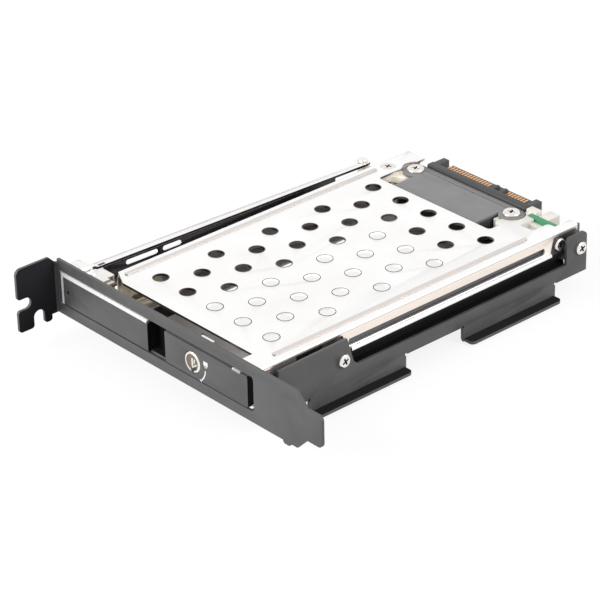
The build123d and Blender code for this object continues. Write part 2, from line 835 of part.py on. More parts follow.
with BuildPart() as lock_core:
    with BuildSketch(Plane.XZ.offset(-lock_length)):
        with Locations((lock_x, lock_z)):
            Circle(lock_core_r)
    extrude(amount=lock_length + lock_ring_t - running)
    with BuildSketch(Plane.XZ.offset(-cam_back)):
        with Locations((lock_x, lock_z)):
            Rectangle(tang_w, tang_w)
    extrude(amount=cam_back - lock_length)
    with BuildSketch(Plane.XZ.offset(lock_ring_t)):
        with Locations((lock_x, lock_z)):
            SlotOverall(key_slot_l, key_slot_w, rotation=90)
        with Locations((lock_x, lock_z - lock_core_r)):
            Circle(key_notch_r)
    extrude(amount=-2 * lock_ring_t, mode=Mode.SUBTRACT)
finish(lock_core, "lock_core")

with BuildPart() as lock_cam:
    with BuildSketch(Plane.XZ.offset(-cam_back)):
        with Locations((lock_x, lock_z)):
            Circle(cam_w / 2 + cam_eye_wall)
        span(lock_x - cam_length, lock_x, lock_z - cam_w / 2, lock_z + cam_w / 2)
        with Locations((lock_x, lock_z)):
            Rectangle(tang_w + 2 * pin_play, tang_w + 2 * pin_play, mode=Mode.SUBTRACT)
    extrude(amount=cam_t)
    fillet(lock_cam.edges().filter_by(Axis.Y).group_by(Axis.X)[0], cam_corner)
finish(lock_cam, "lock_cam")

with BuildPart() as cam_screw:
    with BuildSketch(Plane.XZ.offset(-cam_back)):
        with Locations((lock_x, lock_z)):
            Circle(cam_w / 2 + cam_head_wall)
    extrude(amount=-cam_screw_h)
    chamfer(cam_screw.faces().sort_by(Axis.Y)[-1].edges(), lock_ring_edge)
finish(cam_screw, "cam_screw")

with BuildPart() as crank_pin:
    with Locations((crank_x, crank_y, crank_top - crank_lug_h)):
        Cylinder(crank_pin_r, rod_tab_top + seat_gap - crank_top + crank_lug_h,
                 align=above)
    with Locations((crank_x, crank_y, rod_tab_top + seat_gap)):
        Cylinder(pin_head_r, pin_head_h, align=above)
    chamfer(crank_pin.edges().group_by(Axis.Z)[-1], pin_edge)
finish(crank_pin, "crank_pin")

# Eject rod: a skewed angle strip with a stepped front tab and a rear eye
with BuildPart() as eject_rod:
    with BuildSketch(Plane.XY.offset(rod_low - rod_web_h)) as rod_plan:
        with BuildLine():
            Polyline(
                (rod_tab_left, rod_tab_front),
                (rod_tab_right, rod_tab_front),
                (rod_tab_right, rod_tab_back),
                (rod_left(rod_tab_back) + rod_w, rod_tab_back + rod_w),
                (rod_left(lever_pin_y) + rod_w, lever_pin_y),
                (rod_left(lever_pin_y), lever_pin_y),
                (rod_left(rod_tab_back), rod_tab_back + rod_w),
                (rod_tab_left, rod_tab_back),
                close=True,
            )
        make_face()
        with Locations((rod_eye_x, lever_pin_y)):
            Circle(rod_eye_r)
    extrude(amount=2 * rod_web_h)
    with BuildSketch(Plane.YZ) as rod_side:
        with BuildLine():
            Polyline(
                (rod_tab_front, rod_tab_low),
                (rod_tab_back, rod_tab_low),
                (rod_tab_back + 2 * rod_step, rod_low),
                (lever_pin_y + rod_eye_r, rod_low),
                (lever_pin_y + rod_eye_r, rod_top),
                (rod_tab_back + 2 * rod_step + sheet / 2, rod_top),
                (rod_tab_back + sheet / 2, rod_tab_top),
                (rod_tab_front, rod_tab_top),
                close=True,
            )
        make_face()
    extrude(amount=2 * cover_left, mode=Mode.INTERSECT)
    with BuildSketch(Plane.XY.offset(rod_top - rod_web_h)):
        with BuildLine():
            Polyline(
                (rod_left(rod_web_front) + rod_w - sheet, rod_web_front),
                (rod_left(rod_web_front) + rod_w, rod_web_front),
                (rod_left(rod_web_back) + rod_w, rod_web_back),
                (rod_left(rod_web_back) + rod_w - sheet, rod_web_back),
                close=True,
            )
        make_face()
    extrude(amount=rod_web_h - sheet)
    with BuildSketch(Plane.YZ):
        for gap_front, gap_back in rod_gaps:
            with Locations(((gap_front + gap_back) / 2, rod_low - rod_gap_drop)):
                SlotOverall(gap_back - gap_front, rod_gap_h)
    extrude(amount=2 * cover_left, mode=Mode.SUBTRACT)
    with BuildSketch(Plane.XY.offset(rod_low)):
        with Locations((crank_x - (crank_r - crank_offset) / 2, crank_y)):
            SlotCenterToCenter(crank_r - crank_offset, 2 * (crank_pin_r + seat_gap))
        with Locations((rod_eye_x, lever_pin_y)):
            SlotCenterToCenter(lever_slot_l, 2 * (lever_pin_r + seat_gap))
    extrude(amount=2 * rod_web_h, mode=Mode.SUBTRACT)
finish(eject_rod, "eject_rod")

# Eject lever: a moulded bell crank with a finger behind the drive's corner
with BuildPart() as eject_lever:
    with BuildSketch(Plane.XY.offset(lever_low)):
        with Locations((lever_x, lever_y)):
            Circle(lever_boss_r)
        make_hull_arm(lever_x, lever_y, lever_pin_x, lever_pin_y, lever_pin_r + lever_arm_wall)
        make_hull_arm(lever_x, lever_y, finger_x, finger_y, lever_pad_r)
        with Locations((lever_x, lever_y)):
            Circle(lever_pivot_r + running, mode=Mode.SUBTRACT)
        with Locations((lever_pin_x, lever_pin_y)):
            Circle(lever_pin_r + pin_play, mode=Mode.SUBTRACT)
    extrude(amount=lever_t)
    with BuildSketch(Plane.XY.offset(floor_top + lever_foot_up)):
        with Locations((finger_x, finger_y)):
            Circle(lever_finger_r)
    extrude(amount=lever_low - floor_top - lever_foot_up)
finish(eject_lever, "eject_lever")

with BuildPart() as lever_pin:
    with Locations((lever_pin_x, lever_pin_y, lever_low)):
        Cylinder(lever_pin_r, rod_top + seat_gap - lever_low, align=above)
    with Locations((lever_pin_x, lever_pin_y, rod_top + seat_gap)):
        Cylinder(pin_head_r, pin_head_h, align=above)
    chamfer(lever_pin.edges().group_by(Axis.Z)[-1], pin_edge)
finish(lever_pin, "lever_pin")

with BuildPart() as lever_post:
    with Locations((lever_x, lever_y, floor_top)):
        Cylinder(lever_post_r, lever_low - seat_gap - floor_top, align=above)
        Hole(lever_pivot_r + pin_play, depth=lever_low)
finish(lever_post, "lever_post")

with BuildPart() as lever_screw:
    with Locations((lever_x, lever_y, cover_top)):
        Cone(lever_pivot_r, lever_head_r, sheet, align=below)
    with Locations((lever_x, lever_y, cover_under)):
        Cylinder(lever_pivot_r, cover_under - floor_top - lever_foot_up, align=below)
finish(lever_screw, "lever_screw")

# Connector assembly at the back of the cage
with BuildPart() as drive_socket:
    slab(socket_left, socket_right, socket_front, board_front, floor_top + socket_lift, shield_low)
    with BuildSketch(Plane.XZ.offset(-socket_front)):
        with Locations(((socket_left + socket_right) / 2, floor_top + socket_mouth_z)):
            Rectangle(socket_right - socket_left - 2 * socket_wall, socket_mouth_h)
    extrude(amount=-socket_mouth_l, mode=Mode.SUBTRACT)
    mouth_edges = drive_socket.edges().filter_by(Axis.Z).group_by(Axis.Y)[0].sort_by(Axis.X)
    chamfer([mouth_edges[0], mouth_edges[-1]], socket_lead)
finish(drive_socket, "drive_socket")

with BuildPart() as connector_shield:
    with BuildSketch(Plane.XY.offset(shield_low)) as shield_plan:
        span(socket_left, socket_right, shield_front, shield_back)
        span(left_lug_x, right_lug_x, shield_crease, shield_back)
        with Locations((left_lug_x, lug_y), (right_lug_x, lug_y)):
            Circle(lug_r)
        span(left_lug_x - lug_r, right_lug_x + lug_r, shield_back, lug_y + lug_r + 1, Mode.SUBTRACT)
        with Locations((left_lug_x, lug_y), (right_lug_x, lug_y)):
            Circle(lug_screw_r + pin_play, mode=Mode.SUBTRACT)
    extrude(amount=lug_t)
finish(connector_shield, "connector_shield")

with BuildPart() as connector_housing:
    plug_back = plug_front + plug_reach
    slab(plug_left, plug_right, plug_front, plug_front + plug_t, plug_low, plug_top)
    for arm_x in (plug_left, plug_right - plug_arm_w):
        slab(arm_x, arm_x + plug_arm_w, plug_front + plug_t, plug_back, plug_low, plug_top - plug_arm_drop)
    for step_x in (plug_left + plug_arm_w, plug_right - plug_arm_w - plug_step_w):
        slab(step_x, step_x + plug_step_w, plug_front + plug_t, plug_front + plug_t + plug_step_l,
             plug_low, blade_z)
    slab(plug_left + plug_arm_w + blade_inset, plug_right - plug_arm_w - blade_inset,
         plug_front + plug_t, plug_back, blade_z - blade_t / 2, blade_z + blade_t / 2)
    for key_x in (key_first_x, key_first_x + key_pitch):
        slab(key_x, key_x + key_w, plug_front + plug_t, plug_back - key_set_back, blade_z, key_top)
    top_front = connector_housing.edges().filter_by(Axis.X).group_by(Axis.Z)[-1].group_by(Axis.Y)[0]
    chamfer(top_front, plug_lead)
finish(connector_housing, "connector_housing")

with BuildPart() as connector_contacts:
    with BuildSketch(Plane.XY.offset(blade_z + blade_t / 2)):
        for first_x, pins in ((power_first_x, power_pins), (signal_first_x, signal_pins)):
            row_x = first_x + pin_pitch * (pins - 1) / 2
            with Locations((row_x, plug_front + plug_t + contact_l / 2)):
                with GridLocations(pin_pitch, 1, pins, 1):
                    Rectangle(contact_w, contact_l)
    extrude(amount=contact_t)
finish(connector_contacts, "connector_contacts")

# Circuit board: full width under the shield, with a taller right end beside it
with BuildPart() as circuit_board:
    with BuildSketch(Plane.XZ.offset(-plug_front)):
        with BuildLine():
            Polyline(
                (board_left, floor_top + board_lift),
                (board_right, floor_top + board_lift),
                (board_right, board_top),
                (board_step_x, board_top),
                (board_step_x, shield_low - board_lift),
                (board_left, shield_low - board_lift),
                close=True,
            )
        make_face()
    extrude(amount=board_t)
finish(circuit_board, "circuit_board")

with BuildPart() as board_header:
    slab(header_x, header_x + header_w, plug_front, plug_front + header_l, header_low, header_top)
    slab(header_x + skin, header_x + header_w - skin, plug_front + skin, plug_front + header_l,
         header_low + skin, header_top - skin, Mode.SUBTRACT)
finish(board_header, "board_header")

# Nylon guide on the right: stands on the floor, backs the drive and holds the board's end
with BuildPart() as right_guide:
    slab(guide_left, guide_end, right_ear_y, board_front, floor_top, shield_low)
    slab(guide_top_left, guide_top_right, guide_front, board_front, guide_low, shield_top)
    slab(guide_top_right, guide_end, right_ear_y - touch, guide_ledge_front,
         guide_low, cover_under, Mode.SUBTRACT)
    slab(tower_left, board_step_x - touch, guide_ledge_front, tower_back, shield_low, shield_top)
    slab(tower_left, tower_right, plug_front + touch, tower_back, tower_low, tower_top)
    with BuildSketch(Plane.XY.offset(shield_low)):
        with Locations((right_lug_x, lug_y)):
            Circle(lug_r + seat_gap)
    extrude(amount=cover_top, mode=Mode.SUBTRACT)
    with Locations((right_lug_x, lug_y, cover_under)):
        Hole(lug_screw_r + pin_play, depth=lug_t + 2 * lug_screw_l)
    uprights = right_guide.edges().filter_by(Axis.Z)
    fillet(uprights.filter_by_position(Axis.Y, guide_front - touch, guide_front + touch), guide_corner)
finish(right_guide, "right_guide")

with BuildPart() as connector_post:
    with Locations((left_lug_x, lug_y, floor_top)):
        Cylinder(post_r, shield_low - floor_top, align=above)
    with Locations((left_lug_x, lug_y, shield_low)):
        Hole(lug_screw_r + pin_play, depth=lug_screw_l + 1)
finish(connector_post, "connector_post")

with BuildPart() as connector_screws:
    for screw_x in (left_lug_x, right_lug_x):
        with Locations((screw_x, lug_y, shield_top)):
            Cylinder(pan_head_r, pan_head_h, align=above)
            Cylinder(lug_screw_r, lug_t + lug_screw_l, align=below)
    chamfer(connector_screws.edges().group_by(Axis.Z)[-1], pan_edge)
    with BuildSketch(Plane.XY.offset(shield_top + pan_head_h)):
        with Locations((left_lug_x, lug_y), (right_lug_x, lug_y)):
            Rectangle(cross_l, cross_w, rotation=cross_turn)
            Rectangle(cross_w, cross_l, rotation=cross_turn)
    extrude(amount=-cross_d, mode=Mode.SUBTRACT)
finish(connector_screws, "connector_screws")

with BuildPart() as side_screws:
    seats = ((front_screw, bracket_x), (rear_screw, bracket_x), (cage_screw, base_right))
    for (screw_y, screw_z), seat_x in seats:
        with BuildSketch(Plane.YZ.offset(seat_x)):
            with Locations((screw_y, screw_z)):
                Circle(side_head_r)
        extrude(amount=side_head_h)
        head_face = side_screws.faces(Select.LAST).sort_by(Axis.X)[-1]
        chamfer(head_face.edges(), pan_edge)
        with BuildSketch(Plane.YZ.offset(base_right - sheet - touch)):
            with Locations((screw_y, screw_z)):
                Circle(screw_shank_r)
        extrude(amount=seat_x - base_right + sheet + touch)
        with BuildSketch(Plane.YZ.offset(seat_x + side_head_h)):
            with Locations((screw_y, screw_z)):
                Rectangle(cross_l, cross_w, rotation=cross_turn)
                Rectangle(cross_w, cross_l, rotation=cross_turn)
        extrude(amount=-cross_d, mode=Mode.SUBTRACT)
finish(side_screws, "side_screws")

# Small spring parts: ribbed side spring in the left wall and the catch beside the door
with BuildPart() as side_spring:
    crests = [
        (base_left + spring_seat + spring_wave * (-1) ** step, spring_front + spring_pitch * step / 2)
        for step in range(round(2 * spring_l / spring_pitch) + 1)
    ]
    with BuildSketch(Plane.XY.offset(floor_top + spring_lift)):
        with BuildLine():
            Polyline(*crests, *[(x + spring_t, y) for x, y in reversed(crests)], close=True)
        make_face()
    extrude(amount=base_wall_top - floor_top - spring_lift - spring_drop)
finish(side_spring, "side_spring")

with BuildPart() as door_catch:
    catch_right = opening_right - catch_gap
    catch_front = door_t - catch_sink
    slab(base_right - catch_seat, catch_right, catch_front, catch_front + catch_w,
         floor_top, floor_top + catch_t)
    slab(catch_right - catch_t, catch_right, catch_front, catch_front + catch_w,
         floor_top, floor_top + catch_h)
finish(door_catch, "door_catch")
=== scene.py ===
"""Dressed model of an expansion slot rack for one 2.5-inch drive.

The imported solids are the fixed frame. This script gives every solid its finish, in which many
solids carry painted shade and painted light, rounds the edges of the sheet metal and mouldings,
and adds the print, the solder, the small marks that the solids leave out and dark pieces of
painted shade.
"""

from __future__ import annotations

import json
import logging
from collections.abc import Callable
from dataclasses import dataclass, field
from enum import Enum
from math import cos, pi, radians, sin

import bmesh
import bpy
from mathutils import Matrix, Vector

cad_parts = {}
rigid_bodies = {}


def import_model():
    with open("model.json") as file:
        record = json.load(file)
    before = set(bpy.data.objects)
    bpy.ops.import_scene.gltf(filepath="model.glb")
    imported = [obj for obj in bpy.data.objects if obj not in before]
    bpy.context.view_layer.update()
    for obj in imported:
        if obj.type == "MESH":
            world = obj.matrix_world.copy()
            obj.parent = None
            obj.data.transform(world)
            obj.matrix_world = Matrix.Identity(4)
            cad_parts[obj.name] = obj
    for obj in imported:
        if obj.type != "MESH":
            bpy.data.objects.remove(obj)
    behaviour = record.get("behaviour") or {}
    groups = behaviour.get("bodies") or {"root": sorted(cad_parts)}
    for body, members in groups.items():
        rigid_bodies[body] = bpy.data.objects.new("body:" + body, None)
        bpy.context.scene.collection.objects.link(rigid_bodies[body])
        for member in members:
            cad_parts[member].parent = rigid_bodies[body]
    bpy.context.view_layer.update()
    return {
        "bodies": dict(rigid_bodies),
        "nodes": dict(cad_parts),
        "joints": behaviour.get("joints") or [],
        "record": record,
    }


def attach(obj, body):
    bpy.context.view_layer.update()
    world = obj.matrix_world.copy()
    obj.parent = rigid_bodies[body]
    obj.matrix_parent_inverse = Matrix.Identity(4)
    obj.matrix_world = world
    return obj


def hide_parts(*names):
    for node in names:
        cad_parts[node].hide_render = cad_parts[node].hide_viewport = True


MM = 0.001
FAR = 900.0
SHARP_DEGREES = 32.0
FLAT_DEGREES = 1.0
MERGE_MM = 0.002
# Sockets of a colour mix node.
MIX_A, MIX_B, MIX_RESULT = 6, 7, 2
NOISE_LOW, NOISE_HIGH = 0.3, 0.7
HALF_TURNED = 0.5
WHITE = (1.0, 1.0, 1.0, 1.0)
LOG = logging.getLogger("drive_rack")
Triple = tuple[float, float, float]


class Body(Enum):
    """The rigid bodies that a piece can ride on."""

    ROOT = "root"
    DOOR = "door"
    LOCK = "lock"
    ROD = "rod"
    LEVER = "lever"


class Grain(Enum):
    """Which way the rolling lines of a sheet run, as repeats per metre."""

    ALONG_X = (40.0, 2200.0, 2200.0)
    ALONG_Y = (2200.0, 40.0, 2200.0)


class Facing(Enum):
    """Which faces of a solid a patch reaches."""

    ANY = "any"
    RIGHT = "right"
    UP = "up"
    UPRIGHT = "upright"


@dataclass(frozen=True)
class Patch:
    """A stretch of a solid with its own tone, such as a cut edge or a shaded web.

    The box between low_mm and high_mm says where it is, and facing says on which faces. A matt
    patch has no gloss, and glow is how much of its own colour it gives off as painted light.
    """

    tone: Triple
    low_mm: Triple = (-FAR, -FAR, -FAR)
    high_mm: Triple = (FAR, FAR, FAR)
    facing: Facing = Facing.ANY
    matt: bool = False
    glow: float = 0.0


class ShaderGraph:
    """A small helper that builds one material's node tree."""

    def __init__(self, name: str) -> None:
        """Start an empty material with a Principled shader.

        Args:
            name: The material's name.
        """
        self.material = bpy.data.materials.new(name)
        self.material.use_nodes = True
        self.tree = self.material.node_tree
        self.shader = self.tree.nodes["Principled BSDF"]
        self.coords = self.tree.nodes.new("ShaderNodeTexCoord")

    def node(self, kind: str, **settings: object) -> bpy.types.Node:
        """Add a node and set its properties.

        Args:
            kind: The node's type name.
            **settings: Property names and their values.

        Returns:
            The new node.
        """
        made = self.tree.nodes.new(kind)
        for key, value in settings.items():
            setattr(made, key, value)
        return made

    def link(self, source: bpy.types.NodeSocket, target: bpy.types.NodeSocket) -> None:
        """Join two sockets."""
        self.tree.links.new(source, target)

    def noise(self, scale: Triple | float, detail: float = 3.0,
              rough: float = 0.5) -> bpy.types.NodeSocket:
        """Add a noise pattern on Object coordinates.

        Args:
            scale: Repeats per metre, or those along X, Y and Z.
            detail: Octaves of the noise.
            rough: Weight of the finer octaves.

        Returns:
            The noise's factor socket.
        """
        mapping = self.node("ShaderNodeMapping")
        mapping.inputs["Scale"].default_value = (scale,) * 3 if isinstance(scale, float) else scale
        self.link(self.coords.outputs["Object"], mapping.inputs["Vector"])
        made = self.node("ShaderNodeTexNoise")
        made.inputs["Scale"].default_value = 1.0
        made.inputs["Detail"].default_value = detail
        made.inputs["Roughness"].default_value = rough
        self.link(mapping.outputs["Vector"], made.inputs["Vector"])
        return made.outputs["Fac"]

    def ramp(self, factor: bpy.types.NodeSocket, low: float, high: float,
             dark: Triple, light: Triple) -> bpy.types.NodeSocket:
        """Turn a factor into a colour between two stops.

        Args:
            factor: The socket that drives the ramp.
            low: Factor at the first colour.
            high: Factor at the second colour.
            dark: The first colour.
            light: The second colour.

        Returns:
            The ramp's colour socket.
        """
        made = self.node("ShaderNodeValToRGB")
        stops = made.color_ramp.elements
        stops[0].position = low
        stops[0].color = (*dark, 1.0)
        stops[1].position = high
        stops[1].color = (*light, 1.0)
        self.link(factor, made.inputs["Fac"])
        return made.outputs["Color"]

    def mottled(self, cloud: bpy.types.NodeSocket, colour: Triple, darker: float,
                lighter: float, low: float = NOISE_LOW) -> bpy.types.NodeSocket:
        """Let a colour wander between a darker and a lighter shade of itself.

        Args:
            cloud: The noise factor that it follows.
            colour: The colour.
            darker: The darker shade against the colour.
            lighter: The lighter shade against the colour.
            low: The noise factor of the darker shade.

        Returns:
            The wandering colour's socket.
        """
        dark = tuple(darker * c for c in colour)
        light = tuple(min(1.0, lighter * c) for c in colour)
        return self.ramp(cloud, low, NOISE_HIGH, dark, light)

    def roughened(self, factor: bpy.types.NodeSocket, level: float, less: float,
                  more: float) -> None:
        """Let the roughness wander about its level.

        Args:
            factor: The noise factor that it follows.
            level: The roughness.
            less: How far it falls below its level.
            more: How far it rises above its level.
        """
        made = self.node("ShaderNodeMapRange")
        made.inputs["From Min"].default_value = NOISE_LOW
        made.inputs["From Max"].default_value = NOISE_HIGH
        made.inputs["To Min"].default_value = level - less
        made.inputs["To Max"].default_value = level + more
        self.link(factor, made.inputs["Value"])
        self.link(made.outputs["Result"], self.shader.inputs["Roughness"])

    def reckon(self, operation: str, first: bpy.types.NodeSocket | float,
               second: bpy.types.NodeSocket | float) -> bpy.types.NodeSocket:
        """Work out one sum on two sockets or numbers.

        Args:
            operation: Name of the Math node's operation.
            first: The first socket or number.
            second: The second socket or number.

        Returns:
            The result's socket.
        """
        made = self.node("ShaderNodeMath", operation=operation)
        for slot, value in zip(made.inputs, (first, second)):
            if isinstance(value, float):
                slot.default_value = value
            else:
                self.link(value, slot)
        return made.outputs["Value"]

    def within(self, patch: Patch) -> bpy.types.NodeSocket:
        """Tell where a patch reaches on the solid.

        Args:
            patch: The patch, in millimetres of the shared frame.

        Returns:
            A socket that is 1 inside the patch and 0 outside it.
        """
        place = self.node("ShaderNodeSeparateXYZ")
        self.link(self.coords.outputs["Object"], place.inputs["Vector"])
        turn = self.node("ShaderNodeSeparateXYZ")
        self.link(self.coords.outputs["Normal"], turn.inputs["Vector"])
        tests = []
        for where, low, high in zip(place.outputs, patch.low_mm, patch.high_mm):
            if low > -FAR:
                tests.append(self.reckon("GREATER_THAN", where, low * MM))
            if high < FAR:
                tests.append(self.reckon("LESS_THAN", where, high * MM))
        if patch.facing is Facing.UPRIGHT:
            steep = self.reckon("ABSOLUTE", turn.outputs["Z"], 0.0)
            tests.append(self.reckon("LESS_THAN", steep, HALF_TURNED))
        elif patch.facing is Facing.UP:
            tests.append(self.reckon("GREATER_THAN", turn.outputs["Z"], HALF_TURNED))
        elif patch.facing is Facing.RIGHT:
            tests.append(self.reckon("GREATER_THAN", turn.outputs["X"], HALF_TURNED))
        inside = tests[0]
        for test in tests[1:]:
            inside = self.reckon("MULTIPLY", inside, test)
        return inside

    def laid_over(self, colour: bpy.types.NodeSocket, patch: Patch,
                  tone: bpy.types.NodeSocket | None = None) -> bpy.types.NodeSocket:
        """Lay one patch over a colour.

        Args:
            colour: The colour under the patch.
            patch: The patch.
            tone: A colour socket to show in place of the patch's own tone.

        Returns:
            The colour with the patch on it.
        """
        mixed = self.node("ShaderNodeMix", data_type="RGBA")
        self.link(self.within(patch), mixed.inputs["Factor"])
        self.link(colour, mixed.inputs[MIX_A])
        if tone is None:
            mixed.inputs[MIX_B].default_value = (*patch.tone, 1.0)
        else:
            self.link(tone, mixed.inputs[MIX_B])
        return mixed.outputs[MIX_RESULT]

    def toned(self, colour: bpy.types.NodeSocket,
              patches: tuple[Patch, ...]) -> bpy.types.NodeSocket:
        """Lay the patches' tones over a colour.

        Args:
            colour: The colour all over the solid.
            patches: The patches, the later ones on top.

        Returns:
            The colour with its patches.
        """
        for patch in patches:
            colour = self.laid_over(colour, patch)
        return colour

    def dulled(self, level: float, patches: tuple[Patch, ...]) -> None:
        """Set how glossy the surface is, and take the gloss off the matt patches.

        Args:
            level: The specular level all over the solid.
            patches: The patches, of which only the matt ones count.
        """
        self.set(Specular_IOR_Level=level)
        matt = [patch for patch in patches if patch.matt]
        if matt:
            covered = self.within(matt[0])
            for patch in matt[1:]:
                covered = self.reckon("MAXIMUM", covered, self.within(patch))
            kept = self.reckon("MULTIPLY", self.reckon("SUBTRACT", 1.0, covered), level)
            self.link(kept, self.shader.inputs["Specular IOR Level"])

    def lit(self, colour: bpy.types.NodeSocket, patches: tuple[Patch, ...]) -> None:
        """Let the glowing patches give off a little of their own colour as painted light.

        Args:
            colour: The colour all over the solid.
            patches: The patches, of which only the glowing ones count.
        """
        glowing = [self.reckon("MULTIPLY", self.within(patch), patch.glow)
                   for patch in patches if patch.glow]
        if glowing:
            strength = glowing[0]
            for other in glowing[1:]:
                strength = self.reckon("MAXIMUM", strength, other)
            self.link(colour, self.shader.inputs["Emission Color"])
            self.link(strength, self.shader.inputs["Emission Strength"])

    def seen_directly(self) -> bpy.types.NodeSocket:
        """Give 1 for rays from the camera, a mirror or glass, and 0 for diffuse light."""
        path = self.node("ShaderNodeLightPath").outputs
        mirrored = self.reckon("MAXIMUM", path["Is Glossy Ray"], path["Is Transmission Ray"])
        return self.reckon("MAXIMUM", path["Is Camera Ray"], mirrored)

    def bump(self, height: bpy.types.NodeSocket, strength: float, depth_mm: float) -> None:
        """Drive the shader's normal from a height.

        Args:
            height: The height socket.
            strength: How strongly the bump shows, from 0 to 1.
            depth_mm: The bump's depth in millimetres.
        """
        made = self.node("ShaderNodeBump")
        made.inputs["Strength"].default_value = strength
        made.inputs["Distance"].default_value = depth_mm * MM
        self.link(height, made.inputs["Height"])
        self.link(made.outputs["Normal"], self.shader.inputs["Normal"])

    def set(self, **values: float | tuple[float, ...]) -> None:
        """Set the shader's own sockets.

        Args:
            **values: Socket names with underscores for spaces, and their values.
        """
        for key, value in values.items():
            self.shader.inputs[key.replace("_", " ")].default_value = value


@dataclass(frozen=True)
class PowderCoat:
    """Satin black powder coat with a fine orange peel and a slightly uneven tone."""

    name: str
    colour: Triple
    roughness: float = 0.46
    peel_mm: float = 0.02
    peel_per_m: float = 1700.0
    patches: tuple[Patch, ...] = ()
    cloud_per_m: float = 90.0
    uneven: float = 0.2
    gloss: float = 0.6

    def material(self) -> bpy.types.Material:
        """Build the coat's material."""
        graph = ShaderGraph(self.name)
        peel = graph.noise(self.peel_per_m, rough=0.6)
        cloud = graph.noise(self.cloud_per_m, detail=5.0, rough=0.62)
        shade = graph.mottled(cloud, self.colour, 1.0 - self.uneven, 1.0 + self.uneven)
        graph.link(graph.toned(shade, self.patches), graph.shader.inputs["Base Color"])
        graph.roughened(cloud, self.roughness, less=0.05, more=0.06)
        graph.bump(peel, strength=0.5, depth_mm=self.peel_mm)
        graph.dulled(self.gloss, self.patches)
        return graph.material


@dataclass(frozen=True)
class RolledSteel:
    """Bright rolled sheet with faint lines along one way, and optional streaks of painted
    reflection that glow a little as painted light.
    """

    name: str
    colour: Triple
    grain: Grain = Grain.ALONG_Y
    roughness: float = 0.28
    line_mm: float = 0.004
    metal: float = 1.0
    patches: tuple[Patch, ...] = ()
    reflection_streaks: Patch | None = None
    cloud_per_m: float = 45.0

    def material(self) -> bpy.types.Material:
        """Build the sheet's material."""
        graph = ShaderGraph(self.name)
        lines = graph.noise(self.grain.value, detail=4.0, rough=0.6)
        cloud = graph.noise(self.cloud_per_m, rough=0.55)
        shade = graph.mottled(cloud, self.colour, darker=0.95, lighter=1.03)
        colour = graph.toned(shade, self.patches)
        glowing = self.patches
        if self.reflection_streaks is not None:
            # Painted reflection: bands between a dark and a straw tone, which also glow a little as
            # painted light.
            bands = graph.noise(STREAK_GRAIN, detail=2.0, rough=0.7)
            painted_reflection = graph.ramp(bands, STREAK_LOW, STREAK_HIGH, REFLECTION_STREAK_DARK, self.reflection_streaks.tone)
            colour = graph.laid_over(colour, self.reflection_streaks, painted_reflection)
            glowing += (self.reflection_streaks,)
        graph.link(colour, graph.shader.inputs["Base Color"])
        graph.lit(colour, glowing)
        graph.roughened(lines, self.roughness, less=0.05, more=0.07)
        graph.bump(lines, strength=0.2, depth_mm=self.line_mm)
        graph.set(Metallic=self.metal)
        return graph.material


@dataclass(frozen=True)
class Plating:
    """Plated or bare metal on small turned and stamped pieces."""

    name: str
    colour: Triple
    roughness: float = 0.2
    metal: float = 1.0
    patches: tuple[Patch, ...] = ()
    cloud_per_m: float = 700.0
    pit_mm: float = 0.01

    def material(self) -> bpy.types.Material:
        """Build the plating's material."""
        graph = ShaderGraph(self.name)
        cloud = graph.noise(self.cloud_per_m, rough=0.6)
        shade = graph.mottled(cloud, self.colour, darker=0.88, lighter=1.0, low=0.35)
        graph.link(graph.toned(shade, self.patches), graph.shader.inputs["Base Color"])
        graph.roughened(cloud, self.roughness, less=0.05, more=0.08)
        graph.bump(cloud, strength=0.15, depth_mm=self.pit_mm)
        graph.set(Metallic=self.metal)
        return graph.material


@dataclass(frozen=True)
class Moulding:
    """Moulded plastic with a fine spark texture, which light may seep into."""

    name: str
    colour: Triple
    roughness: float = 0.5
    spark_mm: float = 0.008
    spark_per_m: float = 3200.0
    seep: float = 0.0
    patches: tuple[Patch, ...] = ()
    cloud_per_m: float = 120.0
    gloss: float = 0.5
    seep_mm: Triple = (0.6, 0.5, 0.4)

    def material(self) -> bpy.types.Material:
        """Build the moulding's material."""
        graph = ShaderGraph(self.name)
        spark = graph.noise(self.spark_per_m, detail=2.0)
        cloud = graph.noise(self.cloud_per_m, rough=0.6)
        shade = graph.mottled(cloud, self.colour, darker=0.9, lighter=1.06)
        colour = graph.toned(shade, self.patches)
        graph.link(colour, graph.shader.inputs["Base Color"])
        graph.roughened(spark, self.roughness, less=0.04, more=0.06)
        graph.bump(spark, strength=0.3, depth_mm=self.spark_mm)
        graph.dulled(self.gloss, self.patches)
        graph.lit(colour, self.patches)
        graph.set(Subsurface_Weight=self.seep,
                  Subsurface_Radius=tuple(depth * MM for depth in self.seep_mm))
        return graph.material


@dataclass(frozen=True)
class ClearMoulding:
    """Clear moulded acrylic of the light pipe."""

    name: str
    colour: Triple
    roughness: float = 0.18
    haze_per_m: float = 900.0
    haze_mm: float = 0.01

    def material(self) -> bpy.types.Material:
        """Build the clear plastic's material."""
        graph = ShaderGraph(self.name)
        haze = graph.noise(self.haze_per_m, detail=2.0)
        graph.roughened(haze, self.roughness, less=0.06, more=0.1)
        graph.bump(haze, strength=0.2, depth_mm=self.haze_mm)
        graph.set(Base_Color=(*self.colour, 1.0), Transmission_Weight=0.4, IOR=1.49)
        return graph.material


